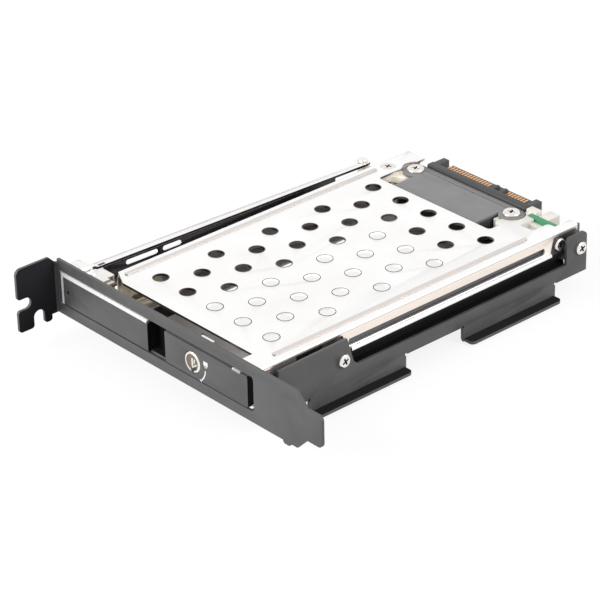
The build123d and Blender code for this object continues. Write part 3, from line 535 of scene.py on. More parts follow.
SHADE = (0.012, 0.012, 0.013)
PAINT = (0.081, 0.08, 0.082)
SATIN = (0.075, 0.074, 0.076)
HANDLE = (0.075, 0.075, 0.077)
TAB_SHADE = (0.03, 0.03, 0.035)
FOOT_SHADE = (0.022, 0.022, 0.024)
CAGE_GREY = (0.30, 0.28, 0.27)
COVER_WHITE = (1.0, 0.985, 0.97)
ZINC = (0.90, 0.88, 0.85)
ROD_GREY = (0.95, 0.94, 0.93)
STRAW = (1.0, 0.90, 0.74)
DULL_STRAW = (0.62, 0.56, 0.50)
NICKEL = (0.90, 0.86, 0.82)
RIGHT_WALL_SHADE = (0.93, 0.84, 0.76)
FOLD_SHADE_LINE = (0.30, 0.27, 0.25)
CUT_EDGE = (0.86, 0.84, 0.82)
FRONT_EDGE_SHADE = (0.17, 0.145, 0.135)
VENT_SHADE = (0.10, 0.083, 0.076)
VENT_PAINTED_GLOW = (0.98, 0.97, 0.96)
# Dark rings round the vents' edges: painted shade.
VENT_RIM_SHADE = (0.10, 0.082, 0.07)
BEAD_TOP_SHADE = (0.74, 0.69, 0.66)
BEAD_FLANK_SHADE = (0.46, 0.42, 0.40)
FLOOR_FRONT_LIGHT = (0.60, 0.57, 0.56)
WALL_UNDER_LIP_SHADE = (0.018, 0.016, 0.017)
WALL_IN_SLOT_SHADE = (0.11, 0.105, 0.11)
ROD_SHADE = (0.055, 0.05, 0.055)
RECESS_SHADE = (0.05, 0.042, 0.038)
CREAM = (0.88, 0.81, 0.68)
LEVER_GLOW = (0.90, 0.83, 0.72)
STREAK_GRAIN = (620.0, 30.0, 80.0)
REFLECTION_STREAK_DARK = (0.10, 0.075, 0.055)
STREAK_LOW, STREAK_HIGH = 0.44, 0.58

COVER_PATCHES = (
    Patch(CUT_EDGE, low_mm=(-FAR, -FAR, 13.1), high_mm=(87.6, FAR, 14.02),
          facing=Facing.UPRIGHT),
    Patch(VENT_SHADE, low_mm=(16.0, 12.0, 13.1), high_mm=(86.0, 112.0, 13.98),
          facing=Facing.UPRIGHT),
    # Painted light: the walls of the right and front vents glow near white.
    Patch(VENT_PAINTED_GLOW, low_mm=(47.0, 12.0, 13.1), high_mm=(86.0, 92.0, 13.98),
          facing=Facing.UPRIGHT, glow=0.75),
    # Painted shade: the raised beads of the white cover are greyed, darker on their flanks.
    Patch(BEAD_TOP_SHADE, low_mm=(-FAR, -FAR, 14.03)),
    Patch(BEAD_FLANK_SHADE, low_mm=(-FAR, -FAR, 14.03), facing=Facing.UPRIGHT),
    # Painted shade on the cover's front edge face.
    Patch(FRONT_EDGE_SHADE, low_mm=(15.0, -FAR, 13.1), high_mm=(87.6, 11.5, 14.02),
          facing=Facing.UPRIGHT),
    # Painted warm shade on the cover's right wall, and a thin line of painted shade under its top
    # fold.
    Patch(RIGHT_WALL_SHADE, low_mm=(87.9, -FAR, 8.4), high_mm=(88.3, FAR, 13.3),
          facing=Facing.RIGHT),
    Patch(FOLD_SHADE_LINE, low_mm=(87.9, -FAR, 13.24), high_mm=(88.3, FAR, 13.38)),
)
BASE_PATCHES = (
    # Painted light: the base floor's front strip, under the cover's front edge, is lighter.
    Patch(FLOOR_FRONT_LIGHT, high_mm=(FAR, 27.0, 4.5), facing=Facing.UP),
    Patch(SHADE, low_mm=(24.5, 17.0, -FAR), high_mm=(31.5, 24.5, 4.5), facing=Facing.UP),
    # Painted shade on the base's right wall, under the cover's lip and behind its slot.
    Patch(WALL_UNDER_LIP_SHADE, low_mm=(86.0, 20.0, -FAR), facing=Facing.RIGHT),
    Patch(WALL_IN_SLOT_SHADE, low_mm=(86.0, 30.0, 6.0), facing=Facing.RIGHT),
)
# Streaks of painted reflection, with a little glow as painted light, on the base's front and on the
# fitting's arm.
FRONT_REFLECTION_STREAKS = Patch(STRAW, low_mm=(12.0, 4.0, 3.0), high_mm=(23.5, 26.0, FAR), glow=0.22)
ARM_REFLECTION_STREAKS = Patch(DULL_STRAW, low_mm=(16.5, -FAR, 12.9), glow=0.05)
ROD_PATCHES = (
    Patch(ROD_SHADE, low_mm=(-FAR, 8.5, -FAR), high_mm=(FAR, FAR, 14.7), facing=Facing.RIGHT),
    Patch(SHADE, low_mm=(6.6, 11.3, 13.9), high_mm=(7.5, 13.9, 14.1), facing=Facing.UP),
)
PAINT_PATCHES = (
    Patch(TAB_SHADE, high_mm=(2.0, -0.6, FAR), facing=Facing.RIGHT, matt=True),
    Patch(SHADE, low_mm=(80.0, 38.0, 1.0), high_mm=(89.3, FAR, 3.0), facing=Facing.UP,
          matt=True),
    Patch(FOOT_SHADE, low_mm=(80.0, 20.0, -FAR), high_mm=(95.0, FAR, -4.0),
          facing=Facing.UP, matt=True),
)
DOOR_PATCHES = (
    Patch(SHADE, low_mm=(88.2, -FAR, -FAR), facing=Facing.RIGHT, matt=True),
    Patch(SHADE, low_mm=(43.3, 0.4, 4.2), high_mm=(52.5, 8.0, 13.5), matt=True),
)
HANDLE_PATCHES = (
    Patch(SHADE, low_mm=(44.2, -FAR, -FAR), facing=Facing.RIGHT, matt=True),
)
# Painted light: the cream lever glows a little where it lies under the cover.
LEVER_PAINTED_LIGHT = (
    Patch(LEVER_GLOW, low_mm=(16.5, 108.0, 2.0), high_mm=(36.0, 134.0, 13.3), glow=0.4),
)
CROSS_REACH = 1.35
TOP_SCREWS = ((25.2, 126.7), (68.2, 126.7))
SIDE_SCREWS = ((91.2, 35.2, 6.0), (91.2, 134.4, 6.8), (88.1, 127.9, 9.2))
# Painted shade in the cross recesses of the screw heads.
SCREW_RECESS_SHADE = tuple(
    Patch(RECESS_SHADE, low_mm=(x - CROSS_REACH, y - CROSS_REACH, 13.3),
          high_mm=(x + CROSS_REACH, y + CROSS_REACH, 13.9))
    for x, y in TOP_SCREWS
) + tuple(
    Patch(RECESS_SHADE, low_mm=(x - 0.45, y - CROSS_REACH, z - CROSS_REACH),
          high_mm=(x + 0.1, y + CROSS_REACH, z + CROSS_REACH))
    for x, y, z in SIDE_SCREWS
)

FINISHES = {
    "black_paint": PowderCoat("black_powder_coat", PAINT, 0.5, patches=PAINT_PATCHES),
    "cage_steel": RolledSteel("cage_sheet", CAGE_GREY, Grain.ALONG_Y, 0.42, metal=0.5,
                              patches=BASE_PATCHES, reflection_streaks=FRONT_REFLECTION_STREAKS),
    "cover_steel": RolledSteel("cover_sheet", COVER_WHITE, Grain.ALONG_Y, 0.30,
                               patches=COVER_PATCHES),
    "fitting_steel": RolledSteel("fitting_zinc", ZINC, Grain.ALONG_X, 0.26, reflection_streaks=ARM_REFLECTION_STREAKS),
    "spring_steel": RolledSteel("spring_leaf", STRAW, Grain.ALONG_Y, 0.3, metal=0.3),
    "rod_steel": RolledSteel("rod_strip", ROD_GREY, Grain.ALONG_Y, 0.27, patches=ROD_PATCHES),
    "screw_nickel": Plating("screw_nickel", NICKEL, 0.24, patches=SCREW_RECESS_SHADE),
    "lock_nickel": Plating("lock_nickel", (0.96, 0.93, 0.88), 0.18),
    "lock_bronze": Plating("lock_bronze", (0.24, 0.19, 0.15), 0.36),
    "black_plastic": Moulding("black_moulding", (0.045, 0.045, 0.047), 0.48),
    "grey_plastic": Moulding("shield_film", (0.235, 0.23, 0.232), 0.5, 0.004),
    "handle_black": PowderCoat("handle_anodised", HANDLE, 0.45, 0.008, 4200.0, HANDLE_PATCHES),
    "trim_bright": Plating("trim_bright", (1.0, 1.0, 1.0), 0.3, metal=0.1),
    "door_black": PowderCoat("door_coat", SATIN, 0.48, 0.01, 2600.0, DOOR_PATCHES),
    # Finish of the dark vent rings, which are painted shade.
    "rim_shade": Plating("vent_rim_painted_shade", VENT_RIM_SHADE, 0.5, metal=0.0),
    "lens_dark": Moulding("lens_dark", (0.008, 0.008, 0.008), 0.2, 0.002),
    "clear_plastic": ClearMoulding("pipe_clear", (0.80, 0.82, 0.84)),
    "contact_gold": Plating("contact_gold", (0.88, 0.50, 0.25), 0.28),
    "board_green": Moulding("board_green", (0.045, 0.30, 0.13), 0.35, 0.004),
    "white_nylon": Moulding("white_nylon", (0.86, 0.83, 0.77), 0.5, 0.008, 3200.0, 0.3),
    "cream_nylon": Moulding("cream_nylon", CREAM, 0.5, 0.008, 3200.0, 0.35, LEVER_PAINTED_LIGHT),
}

# A node that shows another finish than its slot's.
OWN_FINISH = {"door_frame": "door_black"}


@dataclass
class Workshop:
    """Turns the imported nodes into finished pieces."""

    frame: dict
    materials: dict[str, bpy.types.Material] = field(default_factory=dict)
    edge_faces: int = 2
    fold_faces: int = 3

    def finish(self, slot: str) -> bpy.types.Material:
        """Give the material of a slot, built once."""
        if slot not in self.materials:
            self.materials[slot] = FINISHES[slot].material()
        return self.materials[slot]

    def slot_of(self, node: str) -> str:
        """Read which material slot the record gives a node."""
        rows = self.frame["record"]["subparts"]
        return next(row["material_slot"] for row in rows if row["node"] == node)

    def paint(self, node: str) -> None:
        """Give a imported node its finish.

        Args:
            node: The node's name.
        """
        mesh = self.frame["nodes"][node].data
        mesh.materials.clear()
        mesh.materials.append(self.finish(OWN_FINISH.get(node, self.slot_of(node))))

    def place(self, name: str, mesh: bmesh.types.BMesh, body: Body, slot: str,
              look: str | None = None) -> bpy.types.Object:
        """Stand a finished mesh in the scene and let it ride on its body.

        Args:
            name: The piece's name.
            mesh: The mesh, which is used up.
            body: The body that the piece rides on.
            slot: The material slot named in the log, whose finish it shows when no look is given.
            look: The finish that it shows, or the slot's own.

        Returns:
            The finished piece.
        """
        for face in mesh.faces:
            face.smooth = True
        data = bpy.data.meshes.new(name)
        mesh.to_mesh(data)
        mesh.free()
        data.set_sharp_from_angle(angle=radians(SHARP_DEGREES))
        data.materials.append(self.finish(look or slot))
        piece = bpy.data.objects.new(name, data)
        bpy.context.scene.collection.objects.link(piece)
        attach(piece, body.value)
        LOG.info("%s on %s in %s", name, body.value, slot)
        return piece

    def round_edges(self, node: str, body: Body, width_mm: float,
                    folds: Callable[[Vector], float] | None = None,
                    shift: Callable[[Vector], Vector] | None = None) -> None:
        """Stand a copy of a node with softly rounded edges in its place.

        Args:
            node: The node's name.
            body: The body that the copy rides on.
            width_mm: Width of the rounding.
            folds: Gives the wider rounding in millimetres at an edge's middle, or 0.
            shift: Gives how far a corner moves, in millimetres, to follow the real sheet.
        """
        mesh = bmesh.new()
        mesh.from_mesh(self.frame["nodes"][node].data)
        bmesh.ops.remove_doubles(mesh, verts=mesh.verts, dist=MERGE_MM * MM)
        bmesh.ops.dissolve_limit(mesh, angle_limit=radians(FLAT_DEGREES), verts=mesh.verts,
                                 edges=mesh.edges)
        if shift is not None:
            for vert in mesh.verts:
                vert.co += shift(vert.co / MM) * MM
        if folds is not None:
            self.bevel(mesh, 0.0, self.fold_faces, folds)
        self.bevel(mesh, width_mm, self.edge_faces)
        piece = self.place(node + "_rounded", mesh, body, self.slot_of(node),
                           OWN_FINISH.get(node))
        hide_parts(node)

    def bevel(self, mesh: bmesh.types.BMesh, width_mm: float, segments: int,
              folds: Callable[[Vector], float] | None = None) -> None:
        """Round the sharp edges, or only the long folds.

        Args:
            mesh: The mesh to round.
            width_mm: Width of the rounding where no fold is asked for.
            segments: Faces across each rounding.
            folds: Gives the rounding at an edge's middle, or 0 for edges that stay.
        """
        sharp = [e for e in mesh.edges
                 if len(e.link_faces) == 2 and e.calc_face_angle(0.0) > radians(SHARP_DEGREES)]
        if folds is not None:
            widths = {e: folds((e.verts[0].co + e.verts[1].co) / (2 * MM)) for e in sharp}
            sharp = [e for e in sharp if widths[e] > 0.0]
            width_mm = max(widths.values())
        if sharp:
            bmesh.ops.bevel(mesh, geom=sharp, offset=width_mm * MM, affect="EDGES",
                            segments=segments, profile=0.5, material=-1, clamp_overlap=True)


@dataclass
class Cutter:
    """Makes the small shapes of print and fittings with mesh operators."""

    edge_mm: float = 0.04
    edge_faces: int = 2
    rim_sides: int = 6
    rim_steps: int = 36
    sweep_step: int = 6

    def bar(self, size_mm: Triple, middle_mm: Triple, lean: float = 0.0,
            edge_mm: float | None = None, mesh: bmesh.types.BMesh | None = None,
            about: str = "Y") -> bmesh.types.BMesh:
        """Make a bevelled bar.

        Args:
            size_mm: Its lengths along X, Y and Z.
            middle_mm: Its middle in the shared frame.
            lean: Its turn in degrees.
            edge_mm: The bevel's width, or the cutter's own.
            mesh: A mesh to add it to, or a new one.
            about: The axis that it turns about.

        Returns:
            The mesh with the bar in it.
        """
        mesh = mesh or bmesh.new()
        made = bmesh.ops.create_cube(mesh, size=MM)["verts"]
        bmesh.ops.scale(mesh, vec=size_mm, verts=made)
        edges = list({e for v in made for e in v.link_edges})
        width = (self.edge_mm if edge_mm is None else edge_mm) * MM
        rounded = bmesh.ops.bevel(mesh, geom=edges, offset=width, affect="EDGES",
                                  segments=self.edge_faces, profile=0.5, material=-1)
        made = list({v for f in rounded["faces"] for v in f.verts} | {v for v in rounded["verts"]})
        bmesh.ops.rotate(mesh, verts=made, cent=(0, 0, 0),
                         matrix=Matrix.Rotation(radians(lean), 3, about))
        bmesh.ops.translate(mesh, verts=made, vec=Vector(middle_mm) * MM)
        return mesh

    def ring(self, centre_mm: Triple, radius_mm: float, width_mm: float, height_mm: float,
             mesh: bmesh.types.BMesh) -> None:
        """Spin a thin rim round an upright axis.

        Args:
            centre_mm: The rim's centre.
            radius_mm: Radius of its middle line.
            width_mm: Its width.
            height_mm: Its height.
            mesh: The mesh that it is added to.
        """
        made = bmesh.ops.create_circle(mesh, cap_ends=False, segments=self.rim_sides,
                                       radius=MM / 2)["verts"]
        bmesh.ops.scale(mesh, vec=(width_mm, height_mm, 1.0), verts=made)
        bmesh.ops.rotate(mesh, verts=made, cent=(0, 0, 0),
                         matrix=Matrix.Rotation(radians(90.0), 3, "X"))
        bmesh.ops.translate(mesh, verts=made,
                            vec=(Vector(centre_mm) + Vector((radius_mm, 0, 0))) * MM)
        geom = made + list({e for v in made for e in v.link_edges})
        bmesh.ops.spin(mesh, geom=geom, cent=Vector(centre_mm) * MM, axis=(0, 0, 1),
                       dvec=(0, 0, 0), angle=2 * pi, steps=self.rim_steps, use_merge=True)

    def sweep(self, centre_mm: Triple, radius_mm: float, width_mm: float, depth_mm: float,
              start: float, angle: float, mesh: bmesh.types.BMesh) -> None:
        """Sweep a flat band round a centre in the plane of the door.

        Args:
            centre_mm: The centre; its Y is the band's middle depth.
            radius_mm: Radius of the band's middle line.
            width_mm: The band's width.
            depth_mm: The band's thickness along Y.
            start: Angle of its start from +X in degrees, towards +Z.
            angle: How far it goes round in degrees, towards -Z.
            mesh: The mesh that it is added to.
        """
        made = bmesh.ops.create_grid(mesh, x_segments=1, y_segments=1, size=MM / 2)["verts"]
        bmesh.ops.scale(mesh, vec=(width_mm, depth_mm, 1.0), verts=made)
        bmesh.ops.translate(mesh, verts=made, vec=(radius_mm * MM, 0.0, 0.0))
        bmesh.ops.rotate(mesh, verts=made, cent=(0, 0, 0),
                         matrix=Matrix.Rotation(radians(-start), 3, "Y"))
        bmesh.ops.translate(mesh, verts=made, vec=Vector(centre_mm) * MM)
        geom = made + list({e for v in made for e in v.link_edges})
        geom += list({f for v in made for f in v.link_faces})
        bmesh.ops.spin(mesh, geom=geom, cent=Vector(centre_mm) * MM, axis=(0, 1, 0),
                       dvec=(0, 0, 0), angle=radians(angle), steps=int(angle / self.sweep_step))
        bmesh.ops.recalc_face_normals(mesh, faces=mesh.faces)

    def disc(self, centre_mm: Triple, radius_mm: float, depth_mm: float, sides: int,
             mesh: bmesh.types.BMesh, turn: float = 0.0, crown: float = 1.0) -> None:
        """Make a flat or crowned disc, or a few-sided one, facing along Y.

        Args:
            centre_mm: The middle of its back.
            radius_mm: Its radius.
            depth_mm: How far it stands towards -Y; below 0 it stands towards +Y.
            sides: Number of sides.
            mesh: The mesh that it is added to.
            turn: Its turn about Y in degrees.
            crown: Size of its front against its back.
        """
        back = radius_mm * MM
        made = bmesh.ops.create_cone(mesh, cap_ends=True, segments=sides, radius1=back,
                                     radius2=back * crown, depth=abs(depth_mm) * MM)["verts"]
        lay = Matrix.Rotation(radians(90.0 if depth_mm > 0 else -90.0), 3, "X")
        bmesh.ops.rotate(mesh, verts=made, cent=(0, 0, 0),
                         matrix=Matrix.Rotation(radians(turn), 3, "Y") @ lay)
        bmesh.ops.translate(mesh, verts=made,
                            vec=(Vector(centre_mm) - Vector((0, depth_mm / 2, 0))) * MM)


@dataclass
class FoldedBrackets:
    """Slot bracket and side bracket: black coated, folded sheet."""

    slot_edge_mm: float = 0.16
    side_edge_mm: float = 0.15
    ledge_end_mm: float = 128.6
    ledge_more_mm: float = 8.4
    ledge_top_mm: float = 2.6
    wall_in_mm: float = 89.2
    reach_mm: float = 0.05

    def lengthen(self, place: Vector) -> Vector:
        """Carry the ledge on behind the rear tab."""
        at_end = abs(place.y - self.ledge_end_mm) < self.reach_mm
        in_ledge = (place.x < self.wall_in_mm - self.reach_mm
                    and place.z < self.ledge_top_mm + self.reach_mm)
        return Vector((0.0, self.ledge_more_mm if at_end and in_ledge else 0.0, 0.0))

    def build(self, shop: Workshop) -> None:
        """Round both brackets' edges."""
        shop.round_edges("slot_bracket", Body.ROOT, self.slot_edge_mm)
        shop.round_edges("side_bracket", Body.ROOT, self.side_edge_mm, shift=self.lengthen)


@dataclass
class VentedCage:
    """Bright vented cover with its long folds, the duller base and the hinge bracket."""

    left_mm: float = 14.3
    right_mm: float = 88.1
    top_mm: float = 14.0
    fold_mm: float = 0.45
    edge_mm: float = 0.08
    reach_mm: float = 0.05
    wall_mm: float = 1.0
    slot_z_mm: float = 10.3
    slot_span_mm: tuple[float, float] = (38.0, 127.0)
    slot_half_mm: float = 0.75
    slot_wider: float = 0.55
    slot_lower_mm: float = 0.85
    vent_first_mm: tuple[float, float] = (26.2, 20.1)
    vent_pitch_mm: tuple[float, float] = (12.54, 21.75)
    vent_radius_mm: float = 2.6
    vent_rows: int = 5
    rim_width_mm: float = 0.34
    rim_inside_mm: float = 0.1
    rim_height_mm: float = 0.06

    def fold_at(self, middle: Vector) -> float:
        """Give the fold's rounding at an edge's middle, or 0 away from the folds."""
        beside = min(abs(middle.x - self.left_mm), abs(middle.x - self.right_mm)) < self.reach_mm
        above = abs(middle.z - self.top_mm) < self.reach_mm
        return self.fold_mm if beside and above else 0.0

    def open_slot(self, place: Vector) -> Vector:
        """Set the long slot of the right wall a little wider and lower, as the real one is."""
        off = place.z - self.slot_z_mm
        in_wall = self.right_mm - self.wall_mm < place.x < self.right_mm + 2 * self.reach_mm
        start, end = self.slot_span_mm
        moves = in_wall and start < place.y < end and abs(off) <= self.slot_half_mm
        return Vector((0.0, 0.0, self.slot_wider * off - self.slot_lower_mm if moves else 0.0))

    def vents(self) -> list[tuple[float, float]]:
        """Give the middles of the vents: a square grid with a second one between its rows."""
        (first_x, first_y), (pitch_x, pitch_y) = self.vent_first_mm, self.vent_pitch_mm
        middles = []
        for offset, count in ((0.0, self.vent_rows), (0.5, self.vent_rows - 1)):
            for row in range(count):
                for column in range(count):
                    middles.append((first_x + pitch_x * (column + offset),
                                    first_y + pitch_y * (row + offset)))
        return middles

    def shade_vent_rims(self, shop: Workshop, cutter: Cutter) -> None:
        """Lay a thin dark ring of painted shade round every vent's edge."""
        shade_rims = bmesh.new()
        for x, y in self.vents():
            cutter.ring((x, y, self.top_mm), self.vent_radius_mm - self.rim_inside_mm,
                        self.rim_width_mm, self.rim_height_mm, shade_rims)
        bmesh.ops.recalc_face_normals(shade_rims, faces=shade_rims.faces)
        shop.place("vent_shade_rims", shade_rims, Body.ROOT, "cover_steel", "rim_shade")

    def build(self, shop: Workshop, cutter: Cutter) -> None:
        """Ring the vents with painted shade, round the cover's folds and edges, and the base's and
        bracket's edges.
        """
        self.shade_vent_rims(shop, cutter)
        shop.round_edges("cage_cover", Body.ROOT, self.edge_mm, folds=self.fold_at,
                         shift=self.open_slot)
        shop.round_edges("cage_base", Body.ROOT, self.edge_mm)
        shop.round_edges("hinge_bracket", Body.ROOT, self.edge_mm)


@dataclass
class FrontDoor:
    """Door frame, handle plate with its bright trim, and light pipe."""

    frame_edge_mm: float = 0.12
    handle_edge_mm: float = 0.1
    pipe_edge_mm: float = 0.08

    def build(self, shop: Workshop) -> None:
        """Round the door's pieces."""
        shop.round_edges("door_frame", Body.DOOR, self.frame_edge_mm)
        shop.round_edges("handle_plate", Body.DOOR, self.handle_edge_mm)
        shop.round_edges("light_pipe", Body.DOOR, self.pipe_edge_mm)


@dataclass(frozen=True)
class Mark:
    """A small bar on the lock's face, placed from the lock's axis and sunk into the face."""

    length_mm: float
    height_mm: float
    right_mm: float
    up_mm: float
    lean: float = 0.0
    sunk_mm: float = 0.13
    depth_mm: float = 0.3


@dataclass
class KeyLock:
    """Bright ring, bronze core with its shutter, painted shade in the key notch and the ring's gap,
    and the print beside it.
    """

    x_mm: float = 64.7
    z_mm: float = 8.8
    core_front_mm: float = -0.1
    ring_front_mm: float = -0.2
    barrel_edge_mm: float = 0.06
    core_edge_mm: float = 0.05
    shutter: tuple[Mark, ...] = (
        Mark(0.72, 2.7, 0.0, 0.1),
        Mark(0.5, 1.5, 0.95, 0.55, 12.0, 0.12),
        Mark(2.6, 0.42, 0.95, -0.95, -36.0, 0.12),
    )
    notch: tuple[Mark, ...] = (Mark(1.7, 1.15, 0.72, -1.85, -38.0),)
    ring_gap_shade: tuple[Mark, ...] = (Mark(1.25, 0.8, 0.1, -2.92),)
    print_mm: float = 0.02
    print_edge_mm: float = 0.01
    padlock_mm: tuple[float, float] = (1.9, 1.35)
    padlock_at_mm: tuple[float, float] = (5.9, 1.75)
    hoop_at_mm: tuple[float, float] = (5.95, 1.05)
    hoop_radius_mm: float = 0.5
    hoop_stroke_mm: float = 0.24
    arrow_radius_mm: float = 5.8
    arrow_start: float = -6.0
    arrow_sweep: float = 44.0
    arrow_end: float = -52.0
    arrow_head_mm: float = 0.6
    arrow_head_turn: float = 35.0
    stroke_mm: float = 0.42

    def build(self, shop: Workshop, cutter: Cutter) -> None:
        """Dress the lock and print its sign."""
        shop.round_edges("lock_barrel", Body.DOOR, self.barrel_edge_mm)
        shop.round_edges("lock_core", Body.LOCK, self.core_edge_mm)
        self.dress_core(shop, cutter)
        self.print_sign(shop, cutter)

    def cut(self, cutter: Cutter, marks: tuple[Mark, ...], front_mm: float) -> bmesh.types.BMesh:
        """Make one mesh of several marks.

        Args:
            cutter: Makes the bars.
            marks: The marks.
            front_mm: Where the face stands along Y.

        Returns:
            The marks' mesh.
        """
        mesh = bmesh.new()
        for mark in marks:
            cutter.bar((mark.length_mm, mark.depth_mm, mark.height_mm),
                       (self.x_mm + mark.right_mm, front_mm + mark.sunk_mm, self.z_mm + mark.up_mm),
                       mark.lean, mesh=mesh)
        return mesh

    def dress_core(self, shop: Workshop, cutter: Cutter) -> None:
        """Add the shutter and its gate, and dark pieces of painted shade in the notch that the key
        goes into and in the ring's gap.
        """
        shop.place("key_shutter", self.cut(cutter, self.shutter, self.core_front_mm), Body.LOCK,
                   "lock_nickel")
        shop.place("key_notch_shade", self.cut(cutter, self.notch, self.core_front_mm), Body.LOCK,
                   "lens_dark")
        shop.place("ring_gap_shade", self.cut(cutter, self.ring_gap_shade, self.ring_front_mm), Body.DOOR,
                   "lens_dark")

    def from_axis(self, place_mm: tuple[float, float], y_mm: float = 0.0) -> Triple:
        """Give a point that lies right of and above the lock's axis."""
        return (self.x_mm + place_mm[0], y_mm, self.z_mm + place_mm[1])

    def print_sign(self, shop: Workshop, cutter: Cutter) -> None:
        """Print a plain padlock and a turning arrow on the door."""
        depth = 2 * self.print_mm
        width, height = self.padlock_mm
        sign = cutter.bar((width, depth, height), self.from_axis(self.padlock_at_mm),
                          edge_mm=self.print_edge_mm)
        cutter.sweep(self.from_axis(self.hoop_at_mm), self.hoop_radius_mm, self.hoop_stroke_mm,
                     depth, 0.0, 180.0, sign)
        cutter.sweep(self.from_axis((0.0, 0.0)), self.arrow_radius_mm, self.stroke_mm, depth,
                     self.arrow_start, self.arrow_sweep, sign)
        end = radians(self.arrow_end)
        tip = (self.arrow_radius_mm * cos(end), self.arrow_radius_mm * sin(end))
        cutter.disc(self.from_axis(tip, self.print_mm), self.arrow_head_mm, depth, 3, sign,
                    self.arrow_head_turn)
        shop.place("turn_sign", sign, Body.DOOR, "trim_bright")


@dataclass
class EjectGear:
    """Eject rod, lever and the pins between them."""

    sheet_edge_mm: float = 0.1
    lever_edge_mm: float = 0.16

    def build(self, shop: Workshop) -> None:
        """Round the rod's and the lever's edges."""
        shop.round_edges("eject_rod", Body.ROD, self.sheet_edge_mm)
        shop.round_edges("eject_lever", Body.LEVER, self.lever_edge_mm)


@dataclass
class RearPlug:
    """Plug, shield, board and the nylon guide beside them."""

    crease_y_mm: float = 128.5
    crease_left_mm: float = 25.6
    crease_right_mm: float = 68.6
    shield_top_mm: float = 13.1
    crease_mm: tuple[float, float] = (0.22, 0.04)
    crease_edge_mm: float = 0.01
    board_back_mm: float = 131.0
    joint_first_mm: float = 30.6
    joint_pitch_mm: float = 1.27
    joint_count: int = 28
    joint_z_mm: float = 5.0
    joint_radius_mm: float = 0.42
    joint_height_mm: float = 0.35
    joint_crown: float = 0.35
    joint_sides: int = 10
    edges_mm: tuple[tuple[str, float], ...] = (
        ("connector_housing", 0.12), ("connector_shield", 0.1), ("right_guide", 0.16),
        ("board_header", 0.12), ("circuit_board", 0.06), ("drive_socket", 0.1),
    )

    def build(self, shop: Workshop, cutter: Cutter) -> None:
        """Round the mouldings, add a dark line of painted shade along the shield's crease, and add
        the solder joints.
        """
        for node, width_mm in self.edges_mm:
            shop.round_edges(node, Body.ROOT, width_mm)
        middle = (self.crease_left_mm + self.crease_right_mm) / 2
        size = (self.crease_right_mm - self.crease_left_mm, *self.crease_mm)
        # A dark line of painted shade along the shield's crease.
        crease_shade = cutter.bar(size, (middle, self.crease_y_mm, self.shield_top_mm),
                            edge_mm=self.crease_edge_mm)
        shop.place("shield_crease_shade", crease_shade, Body.ROOT, "lens_dark")
        self.solder(shop, cutter)

    def solder(self, shop: Workshop, cutter: Cutter) -> None:
        """Set a row of solder joints on the board, under the plug."""
        joints = bmesh.new()
        for index in range(self.joint_count):
            x = self.joint_first_mm + index * self.joint_pitch_mm
            cutter.disc((x, self.board_back_mm, self.joint_z_mm), self.joint_radius_mm,
                        -self.joint_height_mm, self.joint_sides, joints, crown=self.joint_crown)
        bmesh.ops.recalc_face_normals(joints, faces=joints.faces)
        shop.place("solder_joints", joints, Body.ROOT, "screw_nickel")


@dataclass
class Fasteners:
    """Screws that hold the lever, the plug and the side bracket."""

    edge_mm: float = 0.07
    lever_screw_mm: Triple = (18.2, 121.1, 14.0)
    cross_mm: Triple = (2.3, 0.6, 0.05)
    cross_edge_mm: float = 0.02
    cross_turn: float = 25.0

    def build(self, shop: Workshop, cutter: Cutter) -> None:
        """Round the screws' heads and lay a dark cross of painted shade in the lever screw's
        recess.
        """
        for node in ("lever_screw", "connector_screws", "side_screws"):
            shop.round_edges(node, Body.ROOT, self.edge_mm)
        cross = bmesh.new()
        for turn in (self.cross_turn, self.cross_turn + 90.0):
            cutter.bar(self.cross_mm, self.lever_screw_mm, turn, self.cross_edge_mm, cross, "Z")
        shop.place("lever_screw_cross_shade", cross, Body.ROOT, "screw_nickel", "lens_dark")


@dataclass(frozen=True)
class Lamp:
    """One square area lamp, with its places and side in metres and its power in watts."""

    name: str
    place: Triple
    aim: Triple
    side: float
    watts: float

    def hang(self) -> None:
        """Hang the lamp and turn it to its aim."""
        data = bpy.data.lights.new(self.name, "AREA")
        data.size = self.side
        data.energy = self.watts
        lamp = bpy.data.objects.new(self.name, data)
        lamp.location = self.place
        ahead = Vector(self.aim) - Vector(self.place)
        lamp.rotation_euler = ahead.to_track_quat("-Z", "Y").to_euler()
        bpy.context.scene.collection.objects.link(lamp)


